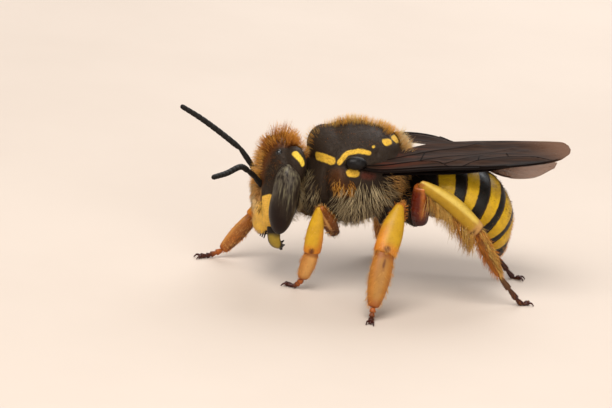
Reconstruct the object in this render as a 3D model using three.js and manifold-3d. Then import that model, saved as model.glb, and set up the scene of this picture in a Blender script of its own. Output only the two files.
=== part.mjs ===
// A male carder bee at rest, as a life-size display model.
// Millimetres, +Z up. The head looks along -X, the bee's left side faces -Y, and the floor is at Z = 0.

import * as THREE from 'three';
import { mergeVertices } from 'three/addons/utils/BufferGeometryUtils.js';
import Module from 'manifold-3d';

const wasm = await Module();
wasm.setup();

// ---------------------------------------------------------------- driving dimensions

const GAP = 0.04;            // clearance between neighbouring pieces
const WELD = 1e-4;           // vertices closer than this are one
const LEFT = -1;
const RIGHT = 1;
const SIDES = { left: LEFT, right: RIGHT };

const MODEL_CENTRE_X = -1.17; // middle of the whole bee along its length
const MODEL_CENTRE_Y = -0.84; // middle of the stance across the body

// Trunk stations run front to rear: [x, middle height, half width, half height], coat included.
const THORAX_STATIONS = [
  [-4.98, 6.2, 1.4, 1.2],
  [-4.55, 6.12, 2.25, 2.1],
  [-3.5, 6.08, 2.9, 2.85],
  [-2.4, 6.05, 3.05, 3.1],
  [-1.3, 5.9, 2.8, 2.9],
  [-0.3, 5.65, 2.25, 2.3],
  [0.45, 5.5, 1.5, 1.55],
];

const SCUTELLUM = { centre: [-0.5, 0, 7.7], half: [0.95, 1.8, 0.66], pitch: 0.3 };
const NECK = { from: [-5.75, 0, 5.75], to: [-4.6, 0, 5.95], radius: 0.85 };

// Head stations run from the crown down: [x, z, half width, half depth], coat included.
const HEAD_STATIONS = [
  [-5.9, 8.2, 0.9, 0.5],
  [-6.14, 7.65, 1.7, 0.95],
  [-6.34, 6.7, 2.35, 1.25],
  [-6.44, 5.5, 2.55, 1.3],
  [-6.48, 4.3, 2.45, 1.24],
  [-6.52, 3.3, 1.95, 0.98],
  [-6.58, 2.5, 1.15, 0.58],
];

const EYE = { centre: [-6.34, 2.02, 4.92], half: [0.76, 0.8, 1.93], lean: 0.03 };
const MANDIBLE = {
  path: [[-6.5, 1.4, 2.85], [-6.42, 1.38, 2.4], [-6.12, 1.15, 2.08], [-5.85, 0.85, 2.02]],
  wide: [0.4, 0.36, 0.3, 0.26],
  thick: [0.28, 0.27, 0.25, 0.25],
};

const ANTENNA_RADIUS = 0.25;
const ANTENNAE = {
  left: {
    scape: [[-7.1, -0.6, 5.0], [-7.75, -1.05, 5.75], [-8.3, -1.75, 6.28]],
    flagellum: [[-8.3, -1.75, 6.28], [-8.95, -2.65, 6.75], [-9.85, -3.65, 6.68], [-10.72, -4.55, 6.7]],
  },
  right: {
    scape: [[-7.05, 0.6, 5.0], [-7.6, 0.8, 5.85], [-8.2, 1.1, 6.6]],
    flagellum: [[-8.2, 1.1, 6.6], [-9.2, 1.5, 7.25], [-10.3, 1.9, 7.9], [-11.35, 2.2, 8.42]],
  },
};

// The abdomen's middle line curls down at the rear: [x, z, half width, half height].
const ABDOMEN_STATIONS = [
  [0.62, 5.45, 1.15, 0.95],
  [1.55, 5.5, 2.15, 1.5],
  [2.6, 5.45, 2.55, 1.64],
  [3.6, 5.28, 2.62, 1.68],
  [4.6, 4.8, 2.55, 1.66],
  [5.3, 4.05, 2.3, 1.45],
  [5.68, 3.15, 1.8, 1.08],
  [5.95, 2.3, 1.15, 0.68],
  [6.1, 1.72, 0.6, 0.32],
];
// Shares of the middle line at which one abdomen ring ends and the next begins.
const ABDOMEN_RINGS = [0, 0.17, 0.325, 0.475, 0.615, 0.745, 0.87, 1];

const WING_THICKNESS = 0.5;
const FOREWINGS = {
  left: {
    lead: [[-2.75, -2.5, 6.95], [-1.5, -2.95, 6.9], [1.4, -3.1, 7.25], [4.45, -2.95, 7.45], [7.6, -2.35, 7.72],
      [8.8, -1.6, 8.0], [9.06, -1.0, 8.12]],
    trail: [[-2.65, -2.1, 7.1], [-1.35, -1.65, 7.42], [1.55, -0.25, 7.78], [3.75, 0.1, 7.92], [6.4, 0.1, 8.1],
      [8.6, -0.3, 8.32], [9.0, -0.72, 8.28]],
  },
  right: {
    lead: [[-2.75, 2.5, 6.95], [-1.5, 2.95, 7.0], [1.1, 3.05, 7.42], [3.6, 3.0, 7.05], [6.2, 2.7, 5.5],
      [8.1, 2.12, 5.5], [9.04, 1.2, 6.42]],
    trail: [[-2.65, 2.1, 7.1], [-1.35, 1.75, 7.34], [1.2, 0.9, 7.46], [3.6, 0.35, 7.44], [6.1, 0.3, 7.2],
      [8.0, 0.5, 7.0], [9.05, 0.95, 6.8]],
  },
};
const HINDWINGS = {
  left: {
    lead: [[-2.0, -2.35, 6.5], [0.2, -2.45, 6.75], [3.0, -2.4, 6.95], [5.6, -1.8, 7.2], [6.5, -1.2, 7.38]],
    trail: [[-1.9, -1.95, 6.6], [0.3, -1.3, 6.98], [3.0, -0.7, 7.18], [5.3, -0.3, 7.44], [6.4, -0.7, 7.46]],
  },
  right: {
    lead: [[-2.0, 2.35, 6.5], [0.2, 2.55, 6.62], [2.6, 2.6, 6.45], [4.9, 2.5, 5.6], [6.2, 2.2, 5.1]],
    trail: [[-1.9, 1.95, 6.6], [0.3, 1.6, 6.78], [2.6, 1.5, 6.75], [4.8, 1.5, 6.25], [6.1, 1.7, 5.6]],
  },
};
const TEGULA = { centre: [-2.85, 2.5, 7.3], half: [0.62, 0.4, 0.42] };

// Half widths and half thicknesses along each length of a leg, coat included.
const LEG_SIZES = {
  front: {
    coxa: [0.42, 0.38], femur: [0.36, 0.48, 0.34], tibia: [0.3, 0.5, 0.55],
    basitarsus: [0.46, 0.52, 0.4], tarsus: [0.27, 0.25],
  },
  mid: {
    coxa: [0.46, 0.4], femur: [0.36, 0.5, 0.38], tibia: [0.34, 0.68, 0.7],
    basitarsus: [0.62, 0.68, 0.44], tarsus: [0.3, 0.26],
  },
  hind: {
    coxa: [0.5, 0.42], femur: [0.38, 0.47, 0.38], tibia: [0.3, 0.46, 0.48],
    basitarsus: [0.5, 0.56, 0.4], tarsus: [0.28, 0.25],
  },
};
const LEG_FLATNESS = 0.7;     // thickness of a leg as a share of its width
const LEG_TIP = 0.55;         // how far a leg's ends are drawn in
const SLIMMEST_LIMB = 0.25;   // half thickness of the slimmest solid

const FOOT_AXIS = 0.15;       // height of a foot's middle line above the floor
const FOOT_LENGTH = 0.42;     // stretch of each tarsus that lies along the floor

// Joints of each leg: root in the thorax, hip, knee, ankle, heel and toe.
const LEG_JOINTS = {
  front_left: [[-3.7, -1.0, 3.9], [-3.2, -1.6, 3.0], [-4.45, -2.25, 4.65], [-4.55, -2.3, 2.15],
    [-4.8, -2.0, 0.6], [-5.45, -1.55, FOOT_AXIS]],
  mid_left: [[-0.7, -1.0, 4.0], [-0.2, -1.7, 3.45], [-0.56, -3.8, 5.5], [-1.44, -5.2, 3.2],
    [-2.0, -6.35, 0.7], [-2.2, -6.95, FOOT_AXIS]],
  hind_left: [[0.2, -0.9, 4.3], [1.15, -1.9, 3.95], [0.66, -3.05, 6.35], [3.93, -3.4, 4.1],
    [5.5, -3.3, 1.64], [7.3, -2.95, FOOT_AXIS]],
  front_right: [[-3.7, 1.0, 3.9], [-3.9, 1.7, 3.05], [-5.35, 3.0, 4.0], [-6.75, 2.88, 2.25],
    [-8.2, 2.7, 0.42], [-9.4, 2.45, FOOT_AXIS]],
  mid_right: [[-0.7, 1.0, 4.0], [-0.2, 1.7, 3.45], [0.5, 3.5, 5.6], [0.9, 4.4, 3.2],
    [1.05, 4.7, 0.7], [1.12, 5.3, FOOT_AXIS]],
  hind_right: [[0.2, 0.9, 4.3], [1.15, 1.9, 3.95], [0.9, 3.05, 6.25], [4.1, 3.2, 3.8],
    [6.2, 2.2, 1.75], [8.0, 1.25, FOOT_AXIS]],
};
const FRINGE = { drop: 0.72, half: 0.5, from: 0.12, to: 0.88 }; // hair curtain under each hind tibia

// ---------------------------------------------------------------- finishes

const FINISHES = {
  coat: { color: 0x6b5a41, roughness: 0.95, metalness: 0 },
  face: { color: 0xd9a93a, roughness: 0.7, metalness: 0 },
  eye: { color: 0x2b2624, roughness: 0.25, metalness: 0 },
  cuticle: { color: 0x1d1a18, roughness: 0.5, metalness: 0 },
  yellow: { color: 0xd8b22c, roughness: 0.45, metalness: 0 },
  amber: { color: 0xb9742c, roughness: 0.5, metalness: 0 },
  mahogany: { color: 0x5a1e0c, roughness: 0.3, metalness: 0 },
  wing: { color: 0x4a3a33, roughness: 0.35, metalness: 0 },
  banded: { color: 0x8f7a22, roughness: 0.45, metalness: 0 },
};

// ---------------------------------------------------------------- shaping tools

const vector = (place) => new THREE.Vector3(...place);

// Smooth value at share t along a short list of evenly spaced values.
function along(values, t) {
  const points = values.map((value, index) => new THREE.Vector3(index, value, 0));
  const curve = new THREE.CatmullRomCurve3(points);
  return curve.getPoint(t).y;
}

// Closes a warped geometry into a solid: shared vertices merged, flattened faces dropped.
function solid(geometry) {
  const bare = geometry.clone();
  bare.deleteAttribute('normal');
  bare.deleteAttribute('uv');
  const merged = mergeVertices(bare, WELD);
  const index = merged.index.array;
  const faces = [];
  for (let i = 0; i < index.length; i += 3) {
    const [a, b, c] = [index[i], index[i + 1], index[i + 2]];
    if (a !== b && b !== c && c !== a) faces.push(a, b, c);
  }
  const mesh = new wasm.Mesh({
    numProp: 3,
    vertProperties: new Float32Array(merged.attributes.position.array),
    triVerts: new Uint32Array(faces),
  });
  return new wasm.Manifold(mesh);
}

// Moves each vertex of a geometry to where shape(x, y, z) puts it.
function warp(geometry, shape) {
  const position = geometry.attributes.position;
  for (let i = 0; i < position.count; i += 1) {
    const place = shape(position.getX(i), position.getY(i), position.getZ(i));
    position.setXYZ(i, place.x, place.y, place.z);
  }
  return geometry;
}

// A limb or trunk: an oval section carried along a path, its ends drawn in by roundness.
function sweep({ path, wide, thick, across, sides = 8, steps = 6, roundness = 5, tip = 0.4, grow = 0,
  from = 0, to = 1 }) {
  const curve = new THREE.CatmullRomCurve3(path.map(vector));
  const sideways = vector(across);
  const tube = new THREE.CylinderGeometry(1, 1, 1, sides, steps);
  return solid(warp(tube, (x, y, z) => {
    const share = (1 - Math.cos(Math.PI * (0.5 - y))) / 2;
    const t = from + (to - from) * share;
    const ends = Math.abs(2 * t - 1);
    const draw = Math.max(tip, (1 - ends ** roundness) ** (1 / roundness));
    const tangent = curve.getTangent(t);
    const width = sideways.clone().addScaledVector(tangent, -sideways.dot(tangent)).normalize();
    const depth = new THREE.Vector3().crossVectors(tangent, width);
    const place = curve.getPoint(t).addScaledVector(tangent, grow * (2 * share - 1) ** 3);
    place.addScaledVector(width, x * (along(wide, t) * draw + grow));
    return place.addScaledVector(depth, z * (along(thick, t) * draw + grow));
  }));
}

// A ball drawn out to its three half sizes, leaning by angles about the axes.
function lobe({ centre, half, lean = [0, 0, 0], across = 16, down = 10, grow = 0 }) {
  const ball = new THREE.SphereGeometry(1, across, down);
  ball.rotateX(Math.PI / 2);
  ball.scale(half[0] + grow, half[1] + grow, half[2] + grow);
  ball.rotateX(lean[0]);
  ball.rotateY(lean[1]);
  ball.rotateZ(lean[2]);
  ball.translate(...centre);
  return solid(ball);
}

// A wing blade of even thickness, ruled between its leading and its trailing edge.
function blade({ lead, trail, steps = 11, across = 2, grow = 0 }) {
  const front = new THREE.CatmullRomCurve3(lead.map(vector));
  const rear = new THREE.CatmullRomCurve3(trail.map(vector));
  const handed = Math.sign(rear.getPoint(0.5).y - front.getPoint(0.5).y);
  const box = new THREE.BoxGeometry(1, 1, 1, steps, across, 1);
  return solid(warp(box, (x, y, z) => {
    const t = x + 0.5;
    const edge = front.getPoint(t);
    const chord = rear.getPoint(t).sub(edge);
    const run = front.getTangent(t).add(rear.getTangent(t)).normalize();
    const up = new THREE.Vector3().crossVectors(run, chord).normalize().multiplyScalar(handed);
    const inward = chord.clone().normalize();
    const place = edge.addScaledVector(chord, 0.5 + y * handed);
    place.addScaledVector(inward, 2 * y * handed * grow);
    return place.addScaledVector(up, z * (WING_THICKNESS + 2 * grow));
  }));
}

const mirrored = (path, side) => path.map(([x, y, z]) => [x, y * side, z]);
const carve = (body, cutters) => cutters.reduce((rest, cutter) => rest.subtract(cutter), body);

const model = new THREE.Group();

function addPiece(name, shape, finish) {
  const mesh = shape.getMesh();
  const geometry = new THREE.BufferGeometry();
  geometry.setAttribute('position', new THREE.BufferAttribute(new Float32Array(mesh.vertProperties), 3));
  geometry.setIndex(new THREE.BufferAttribute(new Uint32Array(mesh.triVerts), 1));
  geometry.computeVertexNormals();
  const piece = new THREE.Mesh(geometry, new THREE.MeshStandardMaterial(FINISHES[finish]));
  piece.name = name;
  model.add(piece);
}

// ---------------------------------------------------------------- wings and tegulae

const wingClearances = [];
for (const [name, side] of Object.entries(SIDES)) {
  const tegula = { centre: [TEGULA.centre[0], TEGULA.centre[1] * side, TEGULA.centre[2]], half: TEGULA.half,
    across: 10, down: 6 };
  const forewingClearance = blade({ ...FOREWINGS[name], grow: GAP });
  const hindwingClearance = blade({ ...HINDWINGS[name], steps: 8, grow: GAP });
  addPiece(`forewing_${name}`, blade(FOREWINGS[name]), 'wing');
  addPiece(`hindwing_${name}`, blade({ ...HINDWINGS[name], steps: 8 }).subtract(forewingClearance), 'wing');
  addPiece(`tegula_${name}`, lobe(tegula).subtract(forewingClearance), 'cuticle');
  wingClearances.push(forewingClearance, hindwingClearance, lobe({ ...tegula, grow: GAP }));
}

// ---------------------------------------------------------------- abdomen

const abdomen = {
  path: ABDOMEN_STATIONS.map(([x, z]) => [x, 0, z]),
  wide: ABDOMEN_STATIONS.map((station) => station[2]),
  thick: ABDOMEN_STATIONS.map((station) => station[3]),
  across: [0, 1, 0],
  sides: 20,
  roundness: 14,
};
const middleLine = new THREE.CatmullRomCurve3(abdomen.path.map(vector));
const ringGap = GAP / middleLine.getLength();
for (let ring = 0; ring < ABDOMEN_RINGS.length - 1; ring += 1) {
  const from = ABDOMEN_RINGS[ring];
  const to = ABDOMEN_RINGS[ring + 1] - (ring < ABDOMEN_RINGS.length - 2 ? ringGap : 0);
  const shape = sweep({ ...abdomen, from, to, steps: 2 });
  addPiece(`abdomen_ring_${ring + 1}`, carve(shape, wingClearances), 'banded');
}
const abdomenClearance = sweep({ ...abdomen, from: 0, to: ABDOMEN_RINGS[1], steps: 2, grow: GAP });

// ---------------------------------------------------------------- thorax and neck

const scutellum = { centre: SCUTELLUM.centre, half: SCUTELLUM.half, lean: [0, SCUTELLUM.pitch, 0],
  across: 14, down: 6 };
addPiece('scutellum', carve(lobe(scutellum), wingClearances), 'coat');

const neck = {
  path: [NECK.from, NECK.to],
  wide: [NECK.radius, NECK.radius],
  thick: [NECK.radius, NECK.radius],
  across: [0, 1, 0],
  sides: 12,
  steps: 2,
};
addPiece('neck', sweep(neck), 'coat');
const neckClearance = sweep({ ...neck, grow: GAP });

const thorax = {
  path: THORAX_STATIONS.map(([x, z]) => [x, 0, z]),
  wide: THORAX_STATIONS.map((station) => station[2]),
  thick: THORAX_STATIONS.map((station) => station[3]),
  across: [0, 1, 0],
  sides: 20,
  steps: 9,
  roundness: 7,
};
const thoraxCutters = [neckClearance, abdomenClearance, lobe({ ...scutellum, grow: GAP }), ...wingClearances];
addPiece('thorax', carve(sweep(thorax), thoraxCutters), 'coat');
const thoraxClearance = sweep({ ...thorax, grow: GAP });

// ---------------------------------------------------------------- legs

const FLOOR = solid(new THREE.BoxGeometry(60, 60, 10).translate(0, 0, -5));
const LEG_LENGTHS = ['coxa', 'femur', 'tibia', 'basitarsus', 'tarsus'];
const LEG_STEPS = { coxa: 2, femur: 4, tibia: 4, basitarsus: 3, tarsus: 3 };
const LEG_SIDES = { coxa: 6, femur: 8, tibia: 8, basitarsus: 8, tarsus: 6 };
const LEG_FINISH = { coxa: 'cuticle', femur: 'amber', tibia: 'yellow', basitarsus: 'amber', tarsus: 'mahogany' };

// A tarsus comes down from the heel and lies along the floor up to the toe.
function footPath(heel, toe) {
  const reach = new THREE.Vector3(toe[0] - heel[0], toe[1] - heel[1], 0).normalize();
  const ball = vector(toe).addScaledVector(reach, -FOOT_LENGTH);
  return [heel, ball.toArray(), toe];
}

function legLength(pair, length, from, to, grow = 0) {
  const wide = LEG_SIZES[pair][length];
  const thick = wide.map((size) => Math.max(SLIMMEST_LIMB, size * LEG_FLATNESS));
  const lean = vector(to).sub(vector(from)).normalize();
  const across = Math.abs(lean.x) > 0.8 ? [0, 0, 1] : [1, 0, 0];
  const path = length === 'tarsus' ? footPath(from, to) : [from, to];
  return sweep({ path, wide, thick, across, sides: LEG_SIDES[length], steps: LEG_STEPS[length], tip: LEG_TIP, grow });
}

function hairFringe(from, to) {
  const start = vector(from).lerp(vector(to), FRINGE.from);
  const end = vector(from).lerp(vector(to), FRINGE.to);
  const path = [start, end].map((place) => [place.x, place.y, place.z - FRINGE.drop]);
  return sweep({ path, wide: [FRINGE.half, FRINGE.half], thick: [SLIMMEST_LIMB, SLIMMEST_LIMB],
    across: [0, 0, 1], steps: 3 });
}

for (const [leg, joints] of Object.entries(LEG_JOINTS)) {
  const pair = leg.split('_')[0];
  LEG_LENGTHS.forEach((length, order) => {
    let shape = legLength(pair, length, joints[order], joints[order + 1]);
    if (length === 'tibia' && pair === 'hind') shape = shape.add(hairFringe(joints[2], joints[3]));
    const next = LEG_LENGTHS[order + 1];
    const cutters = next ? [legLength(pair, next, joints[order + 1], joints[order + 2], GAP)] : [];
    if (length === 'coxa') cutters.push(abdomenClearance);
    if (length === 'coxa' || length === 'femur') cutters.push(thoraxClearance);
    if (length === 'basitarsus' || length === 'tarsus') cutters.push(FLOOR);
    addPiece(`${leg}_${length}`, carve(shape, cutters), LEG_FINISH[length]);
  });
}

// ---------------------------------------------------------------- head

const headClearances = [neckClearance];
for (const [name, side] of Object.entries(SIDES)) {
  const eye = { centre: [EYE.centre[0], EYE.centre[1] * side, EYE.centre[2]], half: EYE.half,
    lean: [0, EYE.lean, 0], across: 12, down: 10 };
  const mandible = { ...MANDIBLE, path: mirrored(MANDIBLE.path, side), across: [1, 0, 0] };
  const radius = [ANTENNA_RADIUS, ANTENNA_RADIUS];
  const scape = { path: ANTENNAE[name].scape, wide: radius, thick: radius, across: [0, 1, 0], steps: 4 };
  const flagellum = { ...scape, path: ANTENNAE[name].flagellum, steps: 8 };
  addPiece(`eye_${name}`, lobe(eye), 'eye');
  addPiece(`mandible_${name}`, sweep(mandible), 'yellow');
  addPiece(`scape_${name}`, sweep(scape).subtract(sweep({ ...flagellum, grow: GAP })), 'cuticle');
  addPiece(`flagellum_${name}`, sweep(flagellum), 'cuticle');
  headClearances.push(lobe({ ...eye, grow: GAP }), sweep({ ...mandible, grow: GAP }));
  headClearances.push(sweep({ ...scape, grow: GAP }));
}

const head = sweep({
  path: HEAD_STATIONS.map(([x, z]) => [x, 0, z]),
  wide: HEAD_STATIONS.map((station) => station[2]),
  thick: HEAD_STATIONS.map((station) => station[3]),
  across: [0, 1, 0],
  sides: 18,
  steps: 12,
  roundness: 7,
});
addPiece('head', carve(head, headClearances), 'face');

model.position.set(-MODEL_CENTRE_X, -MODEL_CENTRE_Y, 0);

const bee = new THREE.Group();
bee.add(model);

export default bee;
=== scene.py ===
"""A male carder bee as a life-size display model: horny plates, smoky wings, banded tail, hairy trunk."""

import math

import bmesh
import bpy
import numpy as np
from mathutils import Matrix, Vector
from mathutils.bvhtree import BVHTree
from mathutils.kdtree import KDTree


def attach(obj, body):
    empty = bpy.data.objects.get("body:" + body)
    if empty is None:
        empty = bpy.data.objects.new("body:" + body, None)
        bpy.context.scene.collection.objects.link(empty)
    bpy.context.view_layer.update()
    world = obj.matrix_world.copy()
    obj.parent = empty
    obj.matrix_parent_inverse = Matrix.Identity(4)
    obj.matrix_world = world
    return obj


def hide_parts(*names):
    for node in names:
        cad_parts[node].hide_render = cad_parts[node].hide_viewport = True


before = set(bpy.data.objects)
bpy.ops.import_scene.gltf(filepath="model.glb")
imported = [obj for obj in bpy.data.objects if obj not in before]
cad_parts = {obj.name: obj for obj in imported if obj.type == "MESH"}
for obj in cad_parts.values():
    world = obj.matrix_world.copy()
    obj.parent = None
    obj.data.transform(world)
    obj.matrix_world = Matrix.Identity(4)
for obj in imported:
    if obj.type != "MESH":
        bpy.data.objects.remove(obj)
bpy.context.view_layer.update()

# ------------------------------------------------------------------ measures, in millimetres
MM = 0.001
STANCE = (1.17, 0.84, 0.0)      # from the bee's own axes to the middle of its footprint
SIDES = {"left": -1, "right": 1}

THORAX = [(-4.98, 6.2, 1.4, 1.2), (-4.55, 6.12, 2.25, 2.1), (-3.5, 6.08, 2.9, 2.85), (-2.4, 6.05, 3.05, 3.1),
          (-1.3, 5.9, 2.8, 2.9), (-0.3, 5.65, 2.25, 2.3), (0.45, 5.5, 1.5, 1.55)]
THORAX_COAT = 0.36
HEAD = [(-6.16, 7.5, 0.75, 0.4), (-6.22, 7.25, 1.5, 0.78), (-6.32, 6.6, 2.02, 1.0), (-6.42, 5.5, 2.24, 1.04),
        (-6.46, 4.3, 2.14, 1.0), (-6.5, 3.35, 1.66, 0.82), (-6.54, 2.72, 1.05, 0.55)]
EYE = dict(centre=(-6.34, 2.02, 4.92), half=(0.74, 0.78, 1.9), lean=0.03)
MANDIBLE = [(-6.5, 1.4, 2.95), (-6.42, 1.38, 2.45), (-6.14, 1.17, 2.12), (-5.88, 0.9, 2.06)]
ANTENNAE = {
    "left": ([(-6.95, -0.5, 4.85), (-7.75, -1.05, 5.75), (-8.3, -1.75, 6.28)],
             [(-8.3, -1.75, 6.28), (-8.95, -2.65, 6.75), (-9.85, -3.65, 6.68), (-10.72, -4.55, 6.7)]),
    "right": ([(-6.95, 0.5, 4.85), (-7.6, 0.8, 5.85), (-8.2, 1.1, 6.6)],
              [(-8.2, 1.1, 6.6), (-9.2, 1.5, 7.25), (-10.3, 1.9, 7.9), (-11.35, 2.2, 8.42)]),
}
ABDOMEN = [(0.62, 5.45, 1.15, 0.95), (1.55, 5.5, 2.15, 1.5), (2.6, 5.45, 2.55, 1.64), (3.6, 5.28, 2.62, 1.68),
           (4.6, 4.8, 2.55, 1.66), (5.3, 4.05, 2.3, 1.45), (5.68, 3.15, 1.8, 1.08), (5.95, 2.3, 1.15, 0.68),
           (6.1, 1.72, 0.6, 0.32)]
FOREWINGS = {
    "left": ([(-2.75, -2.5, 6.95), (-1.5, -2.95, 6.9), (1.4, -3.1, 7.25), (4.45, -2.95, 7.45),
              (7.6, -2.35, 7.72), (8.8, -1.6, 8.0), (9.12, -1.0, 8.12)],
             [(-2.65, -2.1, 7.1), (-1.35, -1.65, 7.42), (1.55, -0.25, 7.78), (3.75, 0.1, 7.92),
              (6.4, 0.1, 8.1), (8.6, -0.3, 8.32), (9.05, -0.72, 8.28)]),
    "right": ([(-2.75, 2.5, 6.95), (-1.5, 2.95, 7.0), (1.1, 3.05, 7.42), (3.6, 3.0, 7.05), (6.2, 2.7, 5.5),
               (8.1, 2.12, 5.5), (9.1, 1.2, 6.42)],
              [(-2.65, 2.1, 7.1), (-1.35, 1.75, 7.34), (1.2, 0.9, 7.46), (3.6, 0.35, 7.44), (6.1, 0.3, 7.2),
               (8.0, 0.5, 7.0), (9.12, 0.95, 6.8)]),
}
HINDWINGS = {
    "left": ([(-2.0, -2.35, 6.5), (0.2, -2.45, 6.75), (3.0, -2.4, 6.95), (5.6, -1.8, 7.2), (6.5, -1.2, 7.38)],
             [(-1.9, -1.95, 6.6), (0.3, -1.3, 6.98), (3.0, -0.7, 7.18), (5.3, -0.3, 7.44),
              (6.4, -0.7, 7.46)]),
    "right": ([(-2.0, 2.35, 6.5), (0.2, 2.55, 6.62), (2.6, 2.6, 6.45), (4.9, 2.5, 5.6), (6.2, 2.2, 5.1)],
              [(-1.9, 1.95, 6.6), (0.3, 1.6, 6.78), (2.6, 1.5, 6.75), (4.8, 1.5, 6.25), (6.1, 1.7, 5.6)]),
}
LEG_SIZES = {
    "front": dict(coxa=(0.42, 0.38), femur=(0.36, 0.48, 0.34), tibia=(0.22, 0.5, 0.55),
                  basitarsus=(0.46, 0.52, 0.4)),
    "mid": dict(coxa=(0.46, 0.4), femur=(0.36, 0.5, 0.38), tibia=(0.26, 0.66, 0.7),
                basitarsus=(0.62, 0.68, 0.44)),
    "hind": dict(coxa=(0.5, 0.42), femur=(0.38, 0.47, 0.38), tibia=(0.3, 0.46, 0.48),
                 basitarsus=(0.5, 0.56, 0.4)),
}
FOOT_AXIS = 0.15
FOOT_LENGTH = 0.42
LEG_LENGTHS = ("coxa", "femur", "tibia", "basitarsus", "tarsus")
LEG_JOINTS = {
    "front_left": [(-3.7, -1.0, 3.9), (-3.2, -1.6, 3.0), (-4.45, -2.25, 4.65), (-4.55, -2.3, 2.15),
                   (-4.8, -2.0, 0.6), (-5.45, -1.55, FOOT_AXIS)],
    "mid_left": [(-0.7, -1.0, 4.0), (-0.2, -1.7, 3.45), (-0.56, -3.8, 5.5), (-1.44, -5.2, 3.2),
                 (-2.0, -6.35, 0.7), (-2.2, -6.95, FOOT_AXIS)],
    "hind_left": [(0.2, -0.9, 4.3), (1.15, -1.9, 3.95), (0.66, -3.05, 6.35), (3.93, -3.4, 4.1),
                  (5.5, -3.3, 1.64), (7.3, -2.95, FOOT_AXIS)],
    "front_right": [(-3.7, 1.0, 3.9), (-3.9, 1.7, 3.05), (-5.35, 3.0, 4.0), (-6.75, 2.88, 2.25),
                    (-8.2, 2.7, 0.42), (-9.4, 2.45, FOOT_AXIS)],
    "mid_right": [(-0.7, 1.0, 4.0), (-0.2, 1.7, 3.45), (0.5, 3.5, 5.6), (0.9, 4.4, 3.2),
                  (1.05, 4.7, 0.7), (1.12, 5.3, FOOT_AXIS)],
    "hind_right": [(0.2, 0.9, 4.3), (1.15, 1.9, 3.95), (0.9, 3.05, 6.25), (4.1, 3.2, 3.8),
                   (6.2, 2.2, 1.75), (8.0, 1.25, FOOT_AXIS)],
}

# ------------------------------------------------------------------ camera, floor and light
CAMERA_TURN = math.radians(-14)
CAMERA_RISE = math.radians(17)
CAMERA_ROLL = math.radians(7)
PIXELS_PER_MM = 19.0
FRAME_SIZE = (612, 408)
ORIGIN_PIXEL = (382, 282)       # where the bee's own origin shows in the frame
FOCUS = Vector((0.0, -1.0, 4.5))
CAMERA_DISTANCE = 180.0
SENSOR = 36.0
FLOOR_WIDTH = 1.6


def in_frame(place):
    """A place on the bee's own axes, in millimetres, as metres in the shared frame."""
    return Vector([(value + shift) * MM for value, shift in zip(place, STANCE)])


def set_camera():
    right = Vector((math.cos(CAMERA_TURN), math.sin(CAMERA_TURN), 0))
    back = Vector((math.sin(CAMERA_TURN) * math.cos(CAMERA_RISE),
                   -math.cos(CAMERA_TURN) * math.cos(CAMERA_RISE),
                   math.sin(CAMERA_RISE)))
    up = back.cross(right)
    image_right = right * math.cos(CAMERA_ROLL) + up * math.sin(CAMERA_ROLL)
    image_up = up * math.cos(CAMERA_ROLL) - right * math.sin(CAMERA_ROLL)
    across = (FRAME_SIZE[0] / 2 - ORIGIN_PIXEL[0]) / PIXELS_PER_MM
    rise = (ORIGIN_PIXEL[1] - FRAME_SIZE[1] / 2) / PIXELS_PER_MM
    aim = image_right * across + image_up * rise + back * FOCUS.dot(back)
    bpy.ops.object.camera_add(location=in_frame(aim + back * CAMERA_DISTANCE))
    camera = bpy.context.object
    turn = Matrix((image_right, image_up, back)).transposed()
    camera.rotation_euler = turn.to_euler()
    camera.data.sensor_width = SENSOR
    camera.data.lens = SENSOR * CAMERA_DISTANCE * PIXELS_PER_MM / FRAME_SIZE[0]
    camera.data.clip_start = 0.01
    camera.data.clip_end = 5.0
    bpy.context.scene.camera = camera


# ------------------------------------------------------------------ shaping by hand
def lone(obj):
    bpy.ops.object.select_all(action="DESELECT")
    obj.select_set(True)
    bpy.context.view_layer.objects.active = obj


def apply_modifier(obj, kind, **settings):
    lone(obj)
    modifier = obj.modifiers.new(kind.title(), kind)
    for key, value in settings.items():
        setattr(modifier, key, value)
    bpy.ops.object.modifier_apply(modifier=modifier.name)


def smooth_point(points, share):
    """The place at a share of the way along a smooth line through evenly spaced points."""
    points = np.asarray(points, float)
    last = len(points) - 1
    reach = min(max(share, 0.0), 1.0) * last
    start = min(int(reach), last - 1)
    step = reach - start
    one, two = points[start], points[start + 1]
    before = points[start - 1] if start else 2 * one - two
    after = points[start + 2] if start + 2 <= last else 2 * two - one
    return 0.5 * (2 * one + (two - before) * step + (2 * before - 5 * one + 4 * two - after) * step ** 2
                  + (3 * one - before - 3 * two + after) * step ** 3)


def heading(points, share):
    ahead, behind = min(share + 0.01, 1), max(share - 0.01, 0)
    way = smooth_point(points, ahead) - smooth_point(points, behind)
    return Vector(way).normalized()


def ring_at(path, share, wide, thick, across):
    """One ring of a limb or trunk: its centre and its two half axes."""
    way = heading(path, share)
    width = Vector(across) - way * Vector(across).dot(way)
    width.normalize()
    return Vector(smooth_point(path, share)), width * wide, way.cross(width) * thick


def ring_matrix(centre, across, depth):
    turn = Matrix((across, depth, across.cross(depth).normalized())).transposed().to_4x4()
    turn.translation = centre
    return turn


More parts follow.
